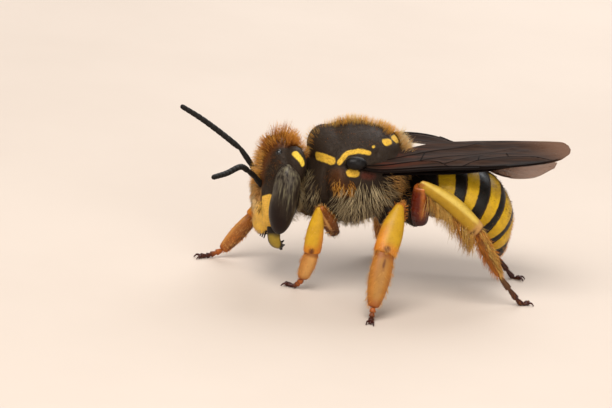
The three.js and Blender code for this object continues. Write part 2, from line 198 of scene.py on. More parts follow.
def draw_out(name, rings, sides=16):
    """A filled circle drawn out through rings of (centre, half width, half depth), closed at both ends."""
    bpy.ops.object.select_all(action="DESELECT")
    bpy.ops.mesh.primitive_circle_add(vertices=sides, radius=1, fill_type="NGON")
    obj = bpy.context.object
    obj.name = name
    bpy.ops.object.mode_set(mode="EDIT")
    bpy.ops.mesh.select_all(action="SELECT")
    mesh = bmesh.from_edit_mesh(obj.data)
    place = ring_matrix(*rings[0])
    bmesh.ops.transform(mesh, matrix=place, verts=mesh.verts[:])
    for ring in rings[1:]:
        bpy.ops.mesh.extrude_region_move()
        mesh = bmesh.from_edit_mesh(obj.data)
        target = ring_matrix(*ring)
        moved = [vertex for vertex in mesh.verts if vertex.select]
        bmesh.ops.transform(mesh, matrix=target @ place.inverted(), verts=moved)
        place = target
    bpy.ops.mesh.select_all(action="SELECT")
    bpy.ops.mesh.normals_make_consistent(inside=False)
    bpy.ops.object.mode_set(mode="OBJECT")
    return obj


def limb_rings(path, wide, thick, across, steps, inset=0.0, tip=0.4, roundness=5, end_tip=None):
    rings = []
    for step in range(steps + 1):
        share = (1 - math.cos(math.pi * step / steps)) / 2
        least = tip if share < 0.5 or end_tip is None else end_tip
        draw = least + (1 - least) * (1 - abs(2 * share - 1) ** roundness) ** (1 / roundness)
        width = smooth_point([(value,) for value in wide], share)[0] * draw - inset
        depth = smooth_point([(value,) for value in thick], share)[0] * draw - inset
        rings.append(ring_at(path, share, max(width, 0.03), max(depth, 0.03), across))
    return rings


def lobe(name, centre, half, lean=(0, 0, 0), segments=32, rings=20):
    """A ball drawn to its half sizes and leaned about its own middle."""
    bpy.ops.object.select_all(action="DESELECT")
    bpy.ops.mesh.primitive_uv_sphere_add(segments=segments, ring_count=rings, radius=1)
    obj = bpy.context.object
    obj.name = name
    obj.scale = half
    obj.rotation_euler = lean
    obj.location = centre
    bpy.ops.object.transform_apply(location=True, rotation=True, scale=True)
    return obj


def join(name, parts):
    bpy.ops.object.select_all(action="DESELECT")
    for part in parts:
        part.select_set(True)
    bpy.context.view_layer.objects.active = parts[0]
    bpy.ops.object.join()
    parts[0].name = name
    parts[0].data.name = name
    return parts[0]


def read_rows(obj, what):
    values = np.empty(len(obj.data.vertices) * 3)
    obj.data.vertices.foreach_get(what, values)
    return values.reshape(-1, 3)


def corners(obj):
    return read_rows(obj, "co")


def facing(obj):
    return read_rows(obj, "normal")


def reshape(obj, places):
    obj.data.vertices.foreach_set("co", np.ascontiguousarray(places, float).ravel())
    obj.data.update()


def measure(obj, name, values):
    """Keeps one number at each corner of the mesh, for its material to read."""
    layer = obj.data.attributes.new(name, "FLOAT", "POINT")
    layer.data.foreach_set("value", np.ascontiguousarray(np.broadcast_to(values, len(layer.data)), float))


def tint(obj, name, colours):
    """Keeps one colour at each corner of the mesh, for its material to read."""
    layer = obj.data.color_attributes.new(name, "FLOAT_COLOR", "POINT")
    whole = np.ones((len(layer.data), 4))
    whole[:, :3] = colours
    layer.data.foreach_set("color", whole.ravel())


def place_piece(obj, finish, slot, *nodes):
    """Sets a finished piece in the shared frame, gives it its finish, and hides the parts it stands for."""
    lone(obj)
    obj.scale = (MM, MM, MM)
    obj.location = [shift * MM for shift in STANCE]
    bpy.ops.object.transform_apply(location=True, rotation=True, scale=True)
    bpy.ops.object.shade_smooth()
    obj.data.materials.clear()
    obj.data.materials.append(finish)
    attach(obj, "root")
    if nodes:
        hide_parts(*nodes)
    return obj


# ------------------------------------------------------------------ colours
def linear(code):
    """A colour written as six hex digits, in linear light."""
    parts = [int(code[i:i + 2], 16) / 255 for i in (0, 2, 4)]
    return np.array([part / 12.92 if part <= 0.04045 else ((part + 0.055) / 1.055) ** 2.4 for part in parts])


BLACK = linear("17130f")
BROWN_BLACK = linear("2b1f14")
YELLOW = linear("cb9c1e")
BRIGHT_YELLOW = linear("e4b23a")
GOLD = linear("e0a32c")
ORANGE = linear("c9772a")
TAN = linear("d9a25c")
MAHOGANY = linear("6a2410")
DARK_RED = linear("451a10")
GINGER = linear("c98a34")
RUST = linear("96561f")
GREY = linear("988869")
CREAM = linear("c8b48c")
DUN = linear("6a5638")
STRAW = linear("dcae5c")
# Colours of the legs.
AMBER = linear("cf7f26")
COPPER = linear("a35d1c")
CHESTNUT = linear("94541c")
# Painted highlight along the top of a hind tibia.
TOP_HIGHLIGHT = linear("e6cb66")
DARK_EDGE = linear("4a3018")
# Painted shade on the underside of a hind tibia, under its fringe.
UNDERSIDE_SHADE = linear("6b4a1e")
PALE_RIM = linear("b98752")
DARK_SLIT = linear("3e2412")
HEEL_BROWN = linear("5a3515")
END_ORANGE = linear("c8761f")
SPOT_BROWN = linear("5a2a10")
END_BROWN = linear("9a5a20")
SIDE_ORANGE = linear("b06a24")
INNER_BROWN = linear("94501a")
ROOT_BROWN = linear("8a4818")
TIP_BROWN = linear("96501c")
# Femur tones: root, tip, and the colour along its side: a pale line of its own on the front and middle legs,
# a painted highlight on the hind.
FEMUR_TONES = {
    "front": (RUST * 0.25, RUST * 0.6, TAN),
    "mid": (RUST * 0.5, RUST, ORANGE),
    "hind": (MAHOGANY * 0.35, MAHOGANY * 1.2, ORANGE),
}
# How strong the tibia's yellow is on each pair: the hind is darker, partly its own olive tone and partly
# painted shade under the wings.
TIBIA_TONE_AND_SHADE = dict(front=1.0, mid=0.84, hind=0.66)
BASITARSUS_TONES = dict(front=linear("d39b54"), mid=linear("a57332"), hind=linear("7d4f1c"))
FOOT_TONES = dict(front=linear("a8581f"), mid=linear("a8581f"), hind=linear("5a3a1c"))
# Small dark pieces.
JAW_SHADOW = linear("3b351a")
JAW_OLIVE = linear("ab9030")
TOOTH_BLACK = linear("1c130d")
LENS_BLACK = linear("0c0a0a")
CAP_BLACK = linear("120e0e")
VEIN_BLACK = linear("120b08")


def opaque(code):
    return (*linear(code), 1)


def mixed(first, second, share):
    share = np.asarray(share)[..., None]
    return first * (1 - share) + second * share


def layered(shade, *layers):
    """A ground colour with others laid over it in turn, each by its own share."""
    for colour, share in layers:
        shade = mixed(shade, colour, share)
    return shade


def held(value):
    """A value kept between nought and one."""
    return np.clip(value, 0, 1)


def eased(value, low, high):
    """Nought below low, one above high, and a soft rise between them."""
    part = held((value - low) / (high - low))
    return part * part * (3 - 2 * part)


# ------------------------------------------------------------------ shaders
def add(tree, kind, feeds=(), **settings):
    made = tree.nodes.new(kind)
    for key, value in settings.items():
        setattr(made, key, value)
    for key, value in dict(feeds).items():
        socket = made.inputs[key]
        if isinstance(value, bpy.types.NodeSocket):
            tree.links.new(value, socket)
        else:
            socket.default_value = value
    return made


def calc(tree, sum_kind, first, second=0.0, clamp=False):
    return add(tree, "ShaderNodeMath", {0: first, 1: second}, operation=sum_kind, use_clamp=clamp).outputs[0]


def blend(tree, share, first, second, kind="MIX"):
    return add(tree, "ShaderNodeMix", {0: share, 6: first, 7: second}, data_type="RGBA",
               blend_type=kind).outputs[2]


def ease(tree, value, low, high, start=0.0, end=1.0):
    return add(tree, "ShaderNodeMapRange",
               {"Value": value, "From Min": low, "From Max": high, "To Min": start, "To Max": end},
               interpolation_type="SMOOTHSTEP").outputs["Result"]


def in_mm(tree, stretch=(1000, 1000, 1000)):
    place = add(tree, "ShaderNodeTexCoord").outputs["Object"]
    return add(tree, "ShaderNodeVectorMath", {0: place, 1: stretch}, operation="MULTIPLY").outputs[0]


def noise(tree, scale, vector=None, detail=3.0, rough=0.55):
    return add(tree, "ShaderNodeTexNoise", {"Vector": vector or in_mm(tree), "Scale": scale, "Detail": detail,
                                            "Roughness": rough}).outputs["Fac"]


def effect(name, takes, gives, wire):
    """A shared shader group: takes and gives name its sockets, and wire joins them up."""
    tree = bpy.data.node_groups.new(name, "ShaderNodeTree")
    for socket, kind, value in takes:
        made = tree.interface.new_socket(socket, in_out="INPUT", socket_type="NodeSocket" + kind)
        made.default_value = value
    for socket, kind in gives:
        tree.interface.new_socket(socket, in_out="OUTPUT", socket_type="NodeSocket" + kind)
    entry = tree.nodes.new("NodeGroupInput")
    leave = tree.nodes.new("NodeGroupOutput")
    for socket, source in wire(tree, entry.outputs).items():
        tree.links.new(source, leave.inputs[socket])
    return tree


def placed(tree, group, **feeds):
    made = add(tree, "ShaderNodeGroup", node_tree=group)
    for key, value in feeds.items():
        socket = made.inputs[key.replace("_", " ")]
        if isinstance(value, bpy.types.NodeSocket):
            tree.links.new(value, socket)
        else:
            socket.default_value = value
    return made.outputs


def wire_pits(tree, takes):
    cells = add(tree, "ShaderNodeTexVoronoi", {"Vector": in_mm(tree), "Scale": takes["Pits per mm"],
                                               "Randomness": 0.85}, feature="F1").outputs["Distance"]
    pits = ease(tree, cells, 0.12, takes["Pit width"])
    grain = noise(tree, 38.0, detail=2.0)
    height = calc(tree, "ADD", pits, calc(tree, "MULTIPLY", grain, takes["Grain"]))
    return {"Height": height, "Pits": pits}


def wire_edge(tree, takes):
    wander = calc(tree, "SUBTRACT", noise(tree, 5.0, detail=4.0, rough=0.7), 0.5)
    moved = calc(tree, "ADD", takes["Distance"], calc(tree, "MULTIPLY", wander, takes["Wobble"]))
    soft = takes["Softness"]
    return {"Mask": ease(tree, moved, calc(tree, "MULTIPLY", soft, -1.0), soft)}


def wire_tone(tree, takes):
    broad = noise(tree, takes["Scale"], detail=4.0)
    shade = ease(tree, broad, 0.3, 0.7, 0.0, 1.0)
    dark = blend(tree, takes["Amount"], takes["Colour"], (0.35, 0.26, 0.18, 1), "MULTIPLY")
    return {"Colour": blend(tree, shade, dark, takes["Colour"])}


def wire_gloss(tree, takes):
    return {"Roughness": ease(tree, noise(tree, takes["Scale"]), 0.3, 0.7, takes["Smooth"], takes["Rough"])}


def wire_hair(tree, takes):
    streak = noise(tree, 9.0, detail=2.0)
    # Painted shade: each hair is painted darker towards its root, deep in the coat; random paler streaks lie
    # over it.
    root = blend(tree, ease(tree, takes["Reach"], 0.0, 0.5, 1.0, 0.0), takes["Tint"],
                 (0.2, 0.15, 0.11, 1), "MULTIPLY")
    return {"Colour": blend(tree, ease(tree, streak, 0.35, 0.65, 0.0, 0.35), root, (1.0, 0.93, 0.8, 1),
                            "SOFT_LIGHT")}


PITTED = effect("Pitted plate", [("Pits per mm", "Float", 12.0), ("Pit width", "Float", 0.45),
                                 ("Grain", "Float", 0.3)], [("Height", "Float"), ("Pits", "Float")],
                                 wire_pits)
EDGED = effect("Marking edge", [("Distance", "Float", 0.0), ("Wobble", "Float", 0.1),
                                ("Softness", "Float", 0.03)],
               [("Mask", "Float")], wire_edge)
TONED = effect("Uneven tone", [("Colour", "Color", (0.5, 0.5, 0.5, 1)), ("Amount", "Float", 0.4),
                               ("Scale", "Float", 2.0)], [("Colour", "Color")], wire_tone)
GLOSSED = effect("Uneven gloss", [("Smooth", "Float", 0.3), ("Rough", "Float", 0.5), ("Scale", "Float", 3.0)],
                 [("Roughness", "Float")], wire_gloss)
HAIRED = effect("Hair tone", [("Tint", "Color", (0.5, 0.5, 0.5, 1)), ("Reach", "Float", 0.5)],
                [("Colour", "Color")], wire_hair)


def new_finish(name, **shader):
    made = bpy.data.materials.new(name)
    made.use_nodes = True
    tree = made.node_tree
    base = tree.nodes["Principled BSDF"]
    for key, value in shader.items():
        base.inputs[key.replace("_", " ")].default_value = value
    return made, tree, base


def kept(tree, name, colour=False):
    read = add(tree, "ShaderNodeAttribute", attribute_name=name)
    return read.outputs["Color" if colour else "Fac"]


def bump(tree, base, height, depth_mm, strength=1.0):
    raised = add(tree, "ShaderNodeBump", {"Height": height, "Distance": depth_mm * MM, "Strength": strength})
    tree.links.new(raised.outputs["Normal"], base.inputs["Normal"])


def horn(name, pits=12.0, pit_width=0.45, depth=0.02, smooth=0.3, rough=0.5, uneven=0.45, coat=0.0,
         mark=BRIGHT_YELLOW, wobble=0.12, softness=0.025, grain=0.35, scale=2.2, shine=0.2):
    """Horny plate: its shade and its markings are kept on the mesh, mark is their colour or its attribute."""
    made, tree, base = new_finish(name, Coat_Weight=coat, Coat_Roughness=0.15, Specular_IOR_Level=shine)
    marks = placed(tree, EDGED, Distance=kept(tree, "mark"), Wobble=wobble, Softness=softness)["Mask"]
    marking = kept(tree, mark, True) if isinstance(mark, str) else (*mark, 1)
    colour = blend(tree, marks, kept(tree, "shade", True), marking)
    pitted = placed(tree, PITTED, Pits_per_mm=pits, Pit_width=pit_width, Grain=grain)
    toned = placed(tree, TONED, Colour=colour, Amount=uneven, Scale=scale)["Colour"]
    # Painted shade: each pit is painted darker where it sinks in.
    pit_shaded = blend(tree, ease(tree, pitted["Pits"], 0.0, 0.6, 0.45, 0.0), toned, (0.25, 0.16, 0.08, 1),
                 "MULTIPLY")
    tree.links.new(pit_shaded, base.inputs["Base Color"])
    tree.links.new(placed(tree, GLOSSED, Smooth=smooth, Rough=rough, Scale=4.0)["Roughness"],
                   base.inputs["Roughness"])
    bump(tree, base, pitted["Height"], depth)
    return made


# ------------------------------------------------------------------ markings on the trunk
def near_line(places, start, end):
    """How far each place is from the straight stretch between start and end."""
    start, end = np.asarray(start, float), np.asarray(end, float)
    way = end - start
    share = held(((places - start) @ way) / max(way @ way, 1e-9))
    return np.linalg.norm(places - start - share[:, None] * way, axis=1)


def near_path(places, path):
    return np.min([near_line(places, *pair) for pair in zip(path, path[1:])], axis=0)


def folded(places):
    """The same places brought to the bee's left side, as its markings are alike on both sides."""
    return np.column_stack([places[:, 0], -np.abs(places[:, 1]), places[:, 2]])


# Yellow markings of the left side: (path, half width).
YELLOW_MARKS = [
    ([(-5.96, -1.84, 7.36), (-5.76, -2.0, 7.22), (-5.6, -2.04, 7.05), (-5.55, -2.06, 6.94)], 0.17),
    ([(-4.65, -1.24, 7.13), (-4.33, -1.73, 7.19), (-4.02, -1.97, 7.12)], 0.21),
    ([(-3.66, -2.2, 7.12), (-3.28, -2.06, 7.59), (-2.65, -2.05, 7.76), (-2.12, -2.09, 7.69)], 0.13),
    ([(-3.12, -2.55, 6.68), (-2.82, -2.58, 6.7)], 0.2),
    ([(-3.62, -2.46, 6.25), (-3.5, -2.5, 5.95)], 0.13),
    ([(-1.12, -1.3, 8.04), (-0.95, -1.2, 8.05)], 0.22),
    ([(-0.55, -0.85, 8.08), (-0.36, -0.55, 8.1)], 0.24),
    ([(-1.87, -1.82, 7.95), (-1.8, -1.75, 7.97)], 0.06),
]
# The yellow face: how far out from the middle, and there the height of its upper edge;
# and the seam down each side.
FACE_OUT = (0.0, 0.6, 1.1, 1.25, 1.8)
FACE_TOP = (4.4, 4.3, 4.45, 4.8, 5.1)
FACE_SEAM = [(-7.3, -1.05, 4.9), (-7.25, -1.18, 4.4), (-7.15, -1.15, 3.7), (-6.95, -0.75, 2.9)]


def face_depth(left):
    """How far inside the yellow of the face each place lies."""
    top = np.interp(-left[:, 1], FACE_OUT, FACE_TOP)
    ends = np.minimum(left[:, 2] - 2.3, top - left[:, 2])
    return np.min([ends, -6.6 - left[:, 0], near_path(left, FACE_SEAM) - 0.02], axis=0)


def marked(places):
    left = folded(places)
    strips = np.max([half - near_path(left, path) for path, half in YELLOW_MARKS], axis=0)
    return np.maximum(strips, face_depth(left))


def trunk_marking(places):
    """The yellow of each marking: warm on the face, clear behind the eye, deeper on the thorax, with a
    painted highlight along the front edge of the face.
    """
    yellow = mixed(linear("ddb03a"), linear("f0cc48"), (places[:, 0] < -5.2) & (places[:, 2] > 6.5))
    yellow = mixed(yellow, linear("f6c250"), (places[:, 0] < -6.0) & (places[:, 2] < 6.0))
    # Painted highlight: the front edge of the face is painted paler where light falls on it.
    return mixed(yellow, linear("f6dcae"), 0.7 * held((-7.32 - places[:, 0]) / 0.2))


def trunk_shade(places):
    """The ground colour of the skin and the roots of its coat."""
    left = folded(places)
    rust = held(1.2 - near_path(left, [(-3.7, -2.4, 6.4), (-3.4, -2.5, 5.7)]) / 0.5)
    under_wing = held(1 - near_path(left, [(-2.35, -2.5, 6.6), (-1.9, -2.4, 6.55)]) / 0.3)
    shade = np.broadcast_to(BROWN_BLACK, places.shape)
    shade = mixed(shade, RUST * 0.3, rust)
    brow = held((-6.75 - left[:, 0]) / 0.4) * held((left[:, 1] + 1.3) / 0.5)
    shade = mixed(shade, RUST * 0.45, brow * held((left[:, 2] - 5.0) / 0.5))
    crown = held((left[:, 2] - 7.1) / 0.3) * (left[:, 0] < -5.3) * held((left[:, 1] + 1.2) / 0.4)
    shade = mixed(shade, RUST * 0.4, crown)
    bridge = held((-7.1 - left[:, 0]) / 0.2) * held((left[:, 1] + 1.15) / 0.15)
    shade = mixed(shade, TAN * 0.85, bridge * held((5.2 - left[:, 2]) / 0.4))
    return mixed(shade, MAHOGANY, under_wing * 0.8)


# Grooves of the left side: path, half width and depth.
COLLAR_GROOVE = [(-4.4, -2.1, 6.8), (-4.26, -2.1, 5.58), (-3.74, -1.9, 4.32), (-3.0, -1.5, 3.34)]
GROOVES = [
    ([(-1.35, 0.0, 8.4), (-1.4, -1.2, 8.1), (-1.65, -2.0, 7.6)], 0.09, 0.1),
    ([(-4.4, -0.9, 8.2), (-2.2, -1.0, 8.6)], 0.04, 0.025),
    ([(-4.7, 0.0, 7.6), (-2.8, 0.0, 8.75)], 0.04, 0.02),
    (COLLAR_GROOVE, 0.2, 0.16),
    ([(-1.2, -2.3, 6.8), (-0.9, -2.1, 5.6), (-1.1, -1.7, 4.2)], 0.1, 0.1),
    ([(-3.7, -2.3, 6.95), (-2.6, -2.5, 6.95), (-1.6, -2.3, 7.1)], 0.1, 0.08),
    ([(-7.5, 0.0, 6.9), (-7.55, 0.0, 5.5)], 0.05, 0.03),
    (FACE_SEAM, 0.06, 0.05),
]
# Swellings and hollows: centre, half sizes and height.
SWELLINGS = [
    ((-7.5, 0.0, 3.8), (0.6, 0.5, 1.0), 0.08),
    ((-7.3, -0.62, 5.35), (0.4, 0.3, 0.3), -0.16),
    ((-3.45, -2.45, 6.3), (0.4, 0.4, 0.55), 0.12),
    ((-6.7, -1.15, 7.2), (0.3, 0.3, 0.3), 0.05),
]


def relief(places):
    left = folded(places)
    rise = np.zeros(len(places))
    for path, width, depth in GROOVES:
        rise -= depth * np.exp(-(near_path(left, path) / width) ** 2)
    for centre, half, height in SWELLINGS:
        rise += height * np.exp(-np.sum(((left - centre) / half) ** 2, axis=1))
    return rise


# ------------------------------------------------------------------ head and trunk: one skin
# Rounded masses that fill out the trunk: centre and half sizes.
TRUNK_LOBES = [
    ((-1.0, 0, 7.5), (1.0, 1.7, 0.96)),
    ((-3.86, 0, 7.3), (1.02, 1.92, 1.12)),
    ((-5.85, -1.3, 6.6), (0.66, 0.92, 1.0)),
    ((-5.85, -1.35, 5.0), (0.5, 0.75, 1.5)),
    ((-3.45, -2.35, 6.25), (0.38, 0.32, 0.5)),
    ((-6.83, 0, 3.02), (0.5, 0.95, 0.64)),
    ((-4.7, -0.85, 5.0), (0.62, 0.95, 1.05)),
    ((0.62, -0.95, 4.6), (0.75, 0.85, 0.95)),
]


SKIN_GRAIN = 0.08
SKIN_SMOOTHING = 8
COXA_COAT = 0.08


def trunk_skin():
    """Head, neck, thorax and the first length of every leg, grown together into one closed skin."""
    stations = [(x, z, wide - THORAX_COAT, deep - THORAX_COAT) for x, z, wide, deep in THORAX]
    parts = []
    for name, rows, across, steps in (("thorax", stations, (0, 1, 0), 14), ("head", HEAD, (0, 1, 0), 16)):
        path = [(x, 0, z) for x, z, _, _ in rows]
        wide = [row[2] for row in rows]
        deep = [row[3] for row in rows]
        parts.append(draw_out(name, limb_rings(path, wide, deep, across, steps, roundness=7), 32))
    for (x, y, z), half in TRUNK_LOBES:
        for hand in (-1, 1) if y else (1,):
            parts.append(lobe("trunk_lobe", (x, y * hand, z), half))
    neck = [(-6.1, 0, 5.7), (-4.6, 0, 5.95)]
    parts.append(draw_out("neck_core", limb_rings(neck, (0.7, 0.7), (0.7, 0.7), (0, 1, 0), 3), 20))
    for leg, joints in LEG_JOINTS.items():
        wide = LEG_SIZES[leg.split("_")[0]]["coxa"]
        path = [joints[0], joints[1]]
        rings = limb_rings(path, wide, wide, (1, 0, 0), 5, inset=COXA_COAT, tip=0.7)
        parts.append(draw_out("coxa_core", rings, 14))
    skin = join("body_skin", parts)
    apply_modifier(skin, "REMESH", mode="VOXEL", voxel_size=SKIN_GRAIN)
    apply_modifier(skin, "SMOOTH", factor=0.5, iterations=SKIN_SMOOTHING)
    places = corners(skin)
    reshape(skin, places + facing(skin) * relief(places)[:, None])
    return skin


# ------------------------------------------------------------------ eyes, ocelli and jaws
def eye_ball(side):
    """An eye with a hollow in its front and a shoulder behind, and the measures that its finish reads."""
    centre = (EYE["centre"][0], EYE["centre"][1] * side, EYE["centre"][2])
    eye = lobe("eye", centre, EYE["half"], (0, EYE["lean"], 0), 64, 48)
    places = corners(eye)
    local = places - centre
    hollow = 0.1 * np.exp(-((local[:, 2] - 0.3) / 0.7) ** 2) * held(-local[:, 0] / 0.6) ** 2
    shoulder = 0.14 * np.exp(-((local[:, 2] - 1.25) / 0.55) ** 2) * held(local[:, 0] / 0.5)
    places[:, 0] += hollow + shoulder
    reshape(eye, places)
    measure(eye, "zone", (places[:, 2] - 5.2 + 1.2 * (places[:, 0] + 7.0)) * 0.7)
    # Where a painted highlight lies on the upper front of the eye.
    measure(eye, "painted_highlight", places[:, 2] - 5.6 - (places[:, 0] + 6.5) * 0.8)
    return eye


# Each ocellus: centre and half size.
OCELLI = [((-6.68, -1.27, 7.2), 0.19), ((-6.68, 1.27, 7.2), 0.19), ((-6.34, -0.1, 7.5), 0.16)]


def ocelli():
    return join("ocelli", [lobe("ocellus", centre, (size, size, size * 0.9), segments=20, rings=12)
                           for centre, size in OCELLI])


def spike(root, point, sizes):
    """A small tapering tooth from its root to its point."""
    rings = limb_rings([root, (root + point) / 2, point], sizes, sizes, (0, 1, 0), 3, tip=0.6)
    return draw_out("tooth", rings, 8)


JAW_ROOT = (-6.52, 1.08, 3.35)
JAW_WIDE = (0.36, 0.37, 0.34, 0.29, 0.2)
JAW_DEEP = (0.3, 0.27, 0.23, 0.2, 0.16)
# Teeth at the end of a jaw: how far each reaches on, how high it stands, and its half width.
JAW_TEETH = ((0.1, -0.2, 0.13), (0.22, -0.02, 0.11), (0.14, 0.16, 0.09))


def jaw(side):
    path = [(x, y * side, z) for x, y, z in [JAW_ROOT] + MANDIBLE]
    parts = [draw_out("jaw", limb_rings(path, JAW_WIDE, JAW_DEEP, (1, 0, 0), 10), 14)]
    tip = Vector(path[-1])
    for reach, drop, size in JAW_TEETH:
        root = tip + Vector((-0.05, 0.02 * side, drop * 0.8))
        point = tip + Vector((reach, -0.12 * side, drop * 1.4))
        parts.append(spike(root, point, (size, size * 0.7, 0.03)))
    whole = join("jaw", parts)
    apply_modifier(whole, "SUBSURF", levels=1, render_levels=1)
    return whole


def jaw_shade(blade, side):
    """Olive yellow on the outside, painted shade where it turns away, dark at the root and at the teeth."""
    places = corners(blade)
    olive = mixed(JAW_SHADOW, JAW_OLIVE, held(facing(blade)[:, 1] * side * 1.5 - 0.35))
    ends = np.maximum((places[:, 0] + 6.14) / 0.12, (places[:, 2] - 2.72) / 0.12)
    return mixed(olive, TOOTH_BLACK, held(ends))


def face_teeth():
    """Short dark teeth in a row under the face."""
    parts = []
    for out in (-0.95, -0.7, -0.42, 0.42, 0.7, 0.95):
        point = Vector((-7.0 + 0.12 * out * out, 1.05 * out, 2.3 + 0.12 * abs(out)))
        root = point + Vector((0.16, -0.16 * out, 0.42 + 0.12 * abs(out)))
        parts.append(spike(root, point, (0.07, 0.055, 0.02)))
    return join("face_teeth", parts)


# ------------------------------------------------------------------ feelers
def jointed_feeler(path, radius, joints, swell=0.03):
    """A feeler drawn out through its rings, with a narrow waist at each joint."""
    rings = []
    for joint in range(joints):
        for within, size in ((0.02, 0.9), (0.1, 1.0), (0.5, 1 + swell), (0.9, 1.02), (0.98, 0.91)):
            share = (joint + within) / joints
            size *= (0.66 + 0.34 * min(1, 12 * share)) * (1 - 0.16 * share ** 3)
            rings.append(ring_at(path, share, radius * size, radius * size, (0, 1, 0)))
    tip, way = Vector(smooth_point(path, 1.0)), heading(path, 1.0)
    radius *= 0.9
    for ahead, size in ((0.0, 0.86), (0.35, 0.7), (0.55, 0.4), (0.6, 0.15)):
        centre, across, depth = ring_at(path, 1.0, radius * size, radius * size, (0, 1, 0))
        rings.append((tip + way * radius * ahead, across, depth))
    return draw_out("feeler", rings, 14)


# ------------------------------------------------------------------ wings
FILM_THICKNESS = 0.035
VEIN_SPREAD = 1.25
# Veins: line of (share of the wing's run, share of its chord), and half thickness at root and tip.
FOREWING_VEINS = [
    ([(0.0, 0.1), (0.25, 0.04), (0.5, 0.03), (0.74, 0.04)], 0.075, 0.03),
    ([(0.0, 0.3), (0.12, 0.2), (0.29, 0.13), (0.47, 0.08)], 0.055, 0.04),
    ([(0.46, 0.05), (0.54, 0.05)], 0.09, 0.05),
    ([(0.0, 0.5), (0.12, 0.42), (0.28, 0.36)], 0.05, 0.035),
    ([(0.28, 0.36), (0.34, 0.27), (0.37, 0.11)], 0.03, 0.028),
    ([(0.28, 0.36), (0.41, 0.45), (0.54, 0.57), (0.63, 0.7)], 0.03, 0.016),
    ([(0.0, 0.72), (0.2, 0.7), (0.41, 0.76), (0.53, 0.88)], 0.045, 0.018),
    ([(0.29, 0.37), (0.31, 0.71)], 0.025, 0.025),
    ([(0.41, 0.1), (0.47, 0.26), (0.57, 0.33), (0.64, 0.25), (0.69, 0.05)], 0.032, 0.02),
    ([(0.36, 0.2), (0.43, 0.34), (0.5, 0.45), (0.59, 0.52), (0.67, 0.6)], 0.028, 0.014),
    ([(0.47, 0.26), (0.49, 0.44)], 0.024, 0.022),
    ([(0.57, 0.33), (0.58, 0.51)], 0.024, 0.022),
]
HINDWING_VEINS = [
    ([(0.0, 0.12), (0.35, 0.07), (0.62, 0.07)], 0.05, 0.02),
    ([(0.0, 0.5), (0.25, 0.42), (0.46, 0.4), (0.66, 0.45)], 0.04, 0.014),
    ([(0.34, 0.07), (0.39, 0.4)], 0.022, 0.022),
    ([(0.0, 0.85), (0.25, 0.78), (0.5, 0.82)], 0.03, 0.014),
]


def wing_place(edges, run, chord, lift=0.0):
    """The place on a wing at a share of its run and of its chord, between its leading and trailing edges."""
    lead, trail = edges
    front = Vector(smooth_point(lead, run))
    rear = Vector(smooth_point(trail, run))
    up = (heading(lead, run) + heading(trail, run)).cross(rear - front).normalized()
    if up.z < 0:
        up = -up
    return front.lerp(rear, chord) + up * lift


def wing_lift(veins, run, chord):
    """How far the film rises to its veins, which leaves shallow furrows between them."""
    rise = 0.0
    for line, _, _ in veins:
        if line[0][0] <= run <= line[-1][0]:
            middle = np.interp(run, [point[0] for point in line], [point[1] for point in line])
            rise = max(rise, math.exp(-((chord - middle) / 0.07) ** 2))
    fading = min(1, run * 3) * min(1, max(0, (0.8 - run) / 0.15))
    return (0.06 * rise - 0.05 * math.sin(chord * 9.0 + run * 4.0)) * fading


def wing_film(edges, veins):
    bpy.ops.object.select_all(action="DESELECT")
    bpy.ops.mesh.primitive_grid_add(x_subdivisions=70, y_subdivisions=26, size=2)
    film = bpy.context.object
    places = corners(film)
    runs, chords = (places[:, 0] + 1) / 2, (places[:, 1] + 1) / 2
    shaped = [wing_place(edges, run, chord, wing_lift(veins, run, chord)) for run, chord in zip(runs, chords)]
    reshape(film, [tuple(place) for place in shaped])
    measure(film, "run", runs)
    measure(film, "chord", chords)
    apply_modifier(film, "SOLIDIFY", thickness=FILM_THICKNESS, offset=0)
    return film


def wing_veins(edges, veins):
    parts = []
    for line, root, tip in veins:
        steps = max(3, 6 * len(line))
        flat = [(run, chord, 0) for run, chord in line]
        path = []
        for step in range(steps + 1):
            run, chord, _ = smooth_point(flat, step / steps)
            path.append(tuple(wing_place(edges, run, chord, wing_lift(veins, run, chord))))
        sizes = [(step / steps, root + (tip - root) * step / steps) for step in range(steps + 1)]
        rings = [ring_at(path, share, VEIN_SPREAD * size, size, (0, 1, 0)) for share, size in sizes]
        parts.append(draw_out("vein", rings, 8))
    return join("veins", parts)


# ------------------------------------------------------------------ abdomen
# Profile of a ring: share of its length and how far it lies inside the rounded form.
RING_PROFILE = [(-0.3, 0.36), (-0.2, 0.24), (-0.06, 0.16), (0.0, 0.13), (0.06, 0.1), (0.14, 0.085),
                (0.25, 0.07), (0.36, 0.06), (0.48, 0.055), (0.6, 0.05), (0.7, 0.05), (0.8, 0.05),
                (0.88, 0.055), (0.95, 0.065), (1.0, 0.085), (1.01, 0.12), (0.97, 0.17), (0.8, 0.26)]
WAIST_PROFILE = [(0.01, 0.75), (0.012, 0.45), (0.03, 0.2), (0.08, 0.1)] + RING_PROFILE[5:]
TIP_PROFILE = RING_PROFILE[:11] + [(0.8, 0.07), (0.88, 0.1), (0.94, 0.14), (0.97, 0.2), (0.98, 0.3)]
ABDOMEN_PATH = [(x, 0, z) for x, z, _, _ in ABDOMEN]
ABDOMEN_WIDE = [(row[2],) for row in ABDOMEN]
ABDOMEN_DEEP = [(row[3],) for row in ABDOMEN]
# Share of the middle line where each ring begins, and how far its edge leans back, in degrees.
RING_EDGES = (0.0, 0.155, 0.32, 0.47, 0.595, 0.73, 0.85, 1.0)
RING_LEANS = (0.0, 3.0, 14.0, 21.0, 29.0, 38.0, 48.0, 62.0)
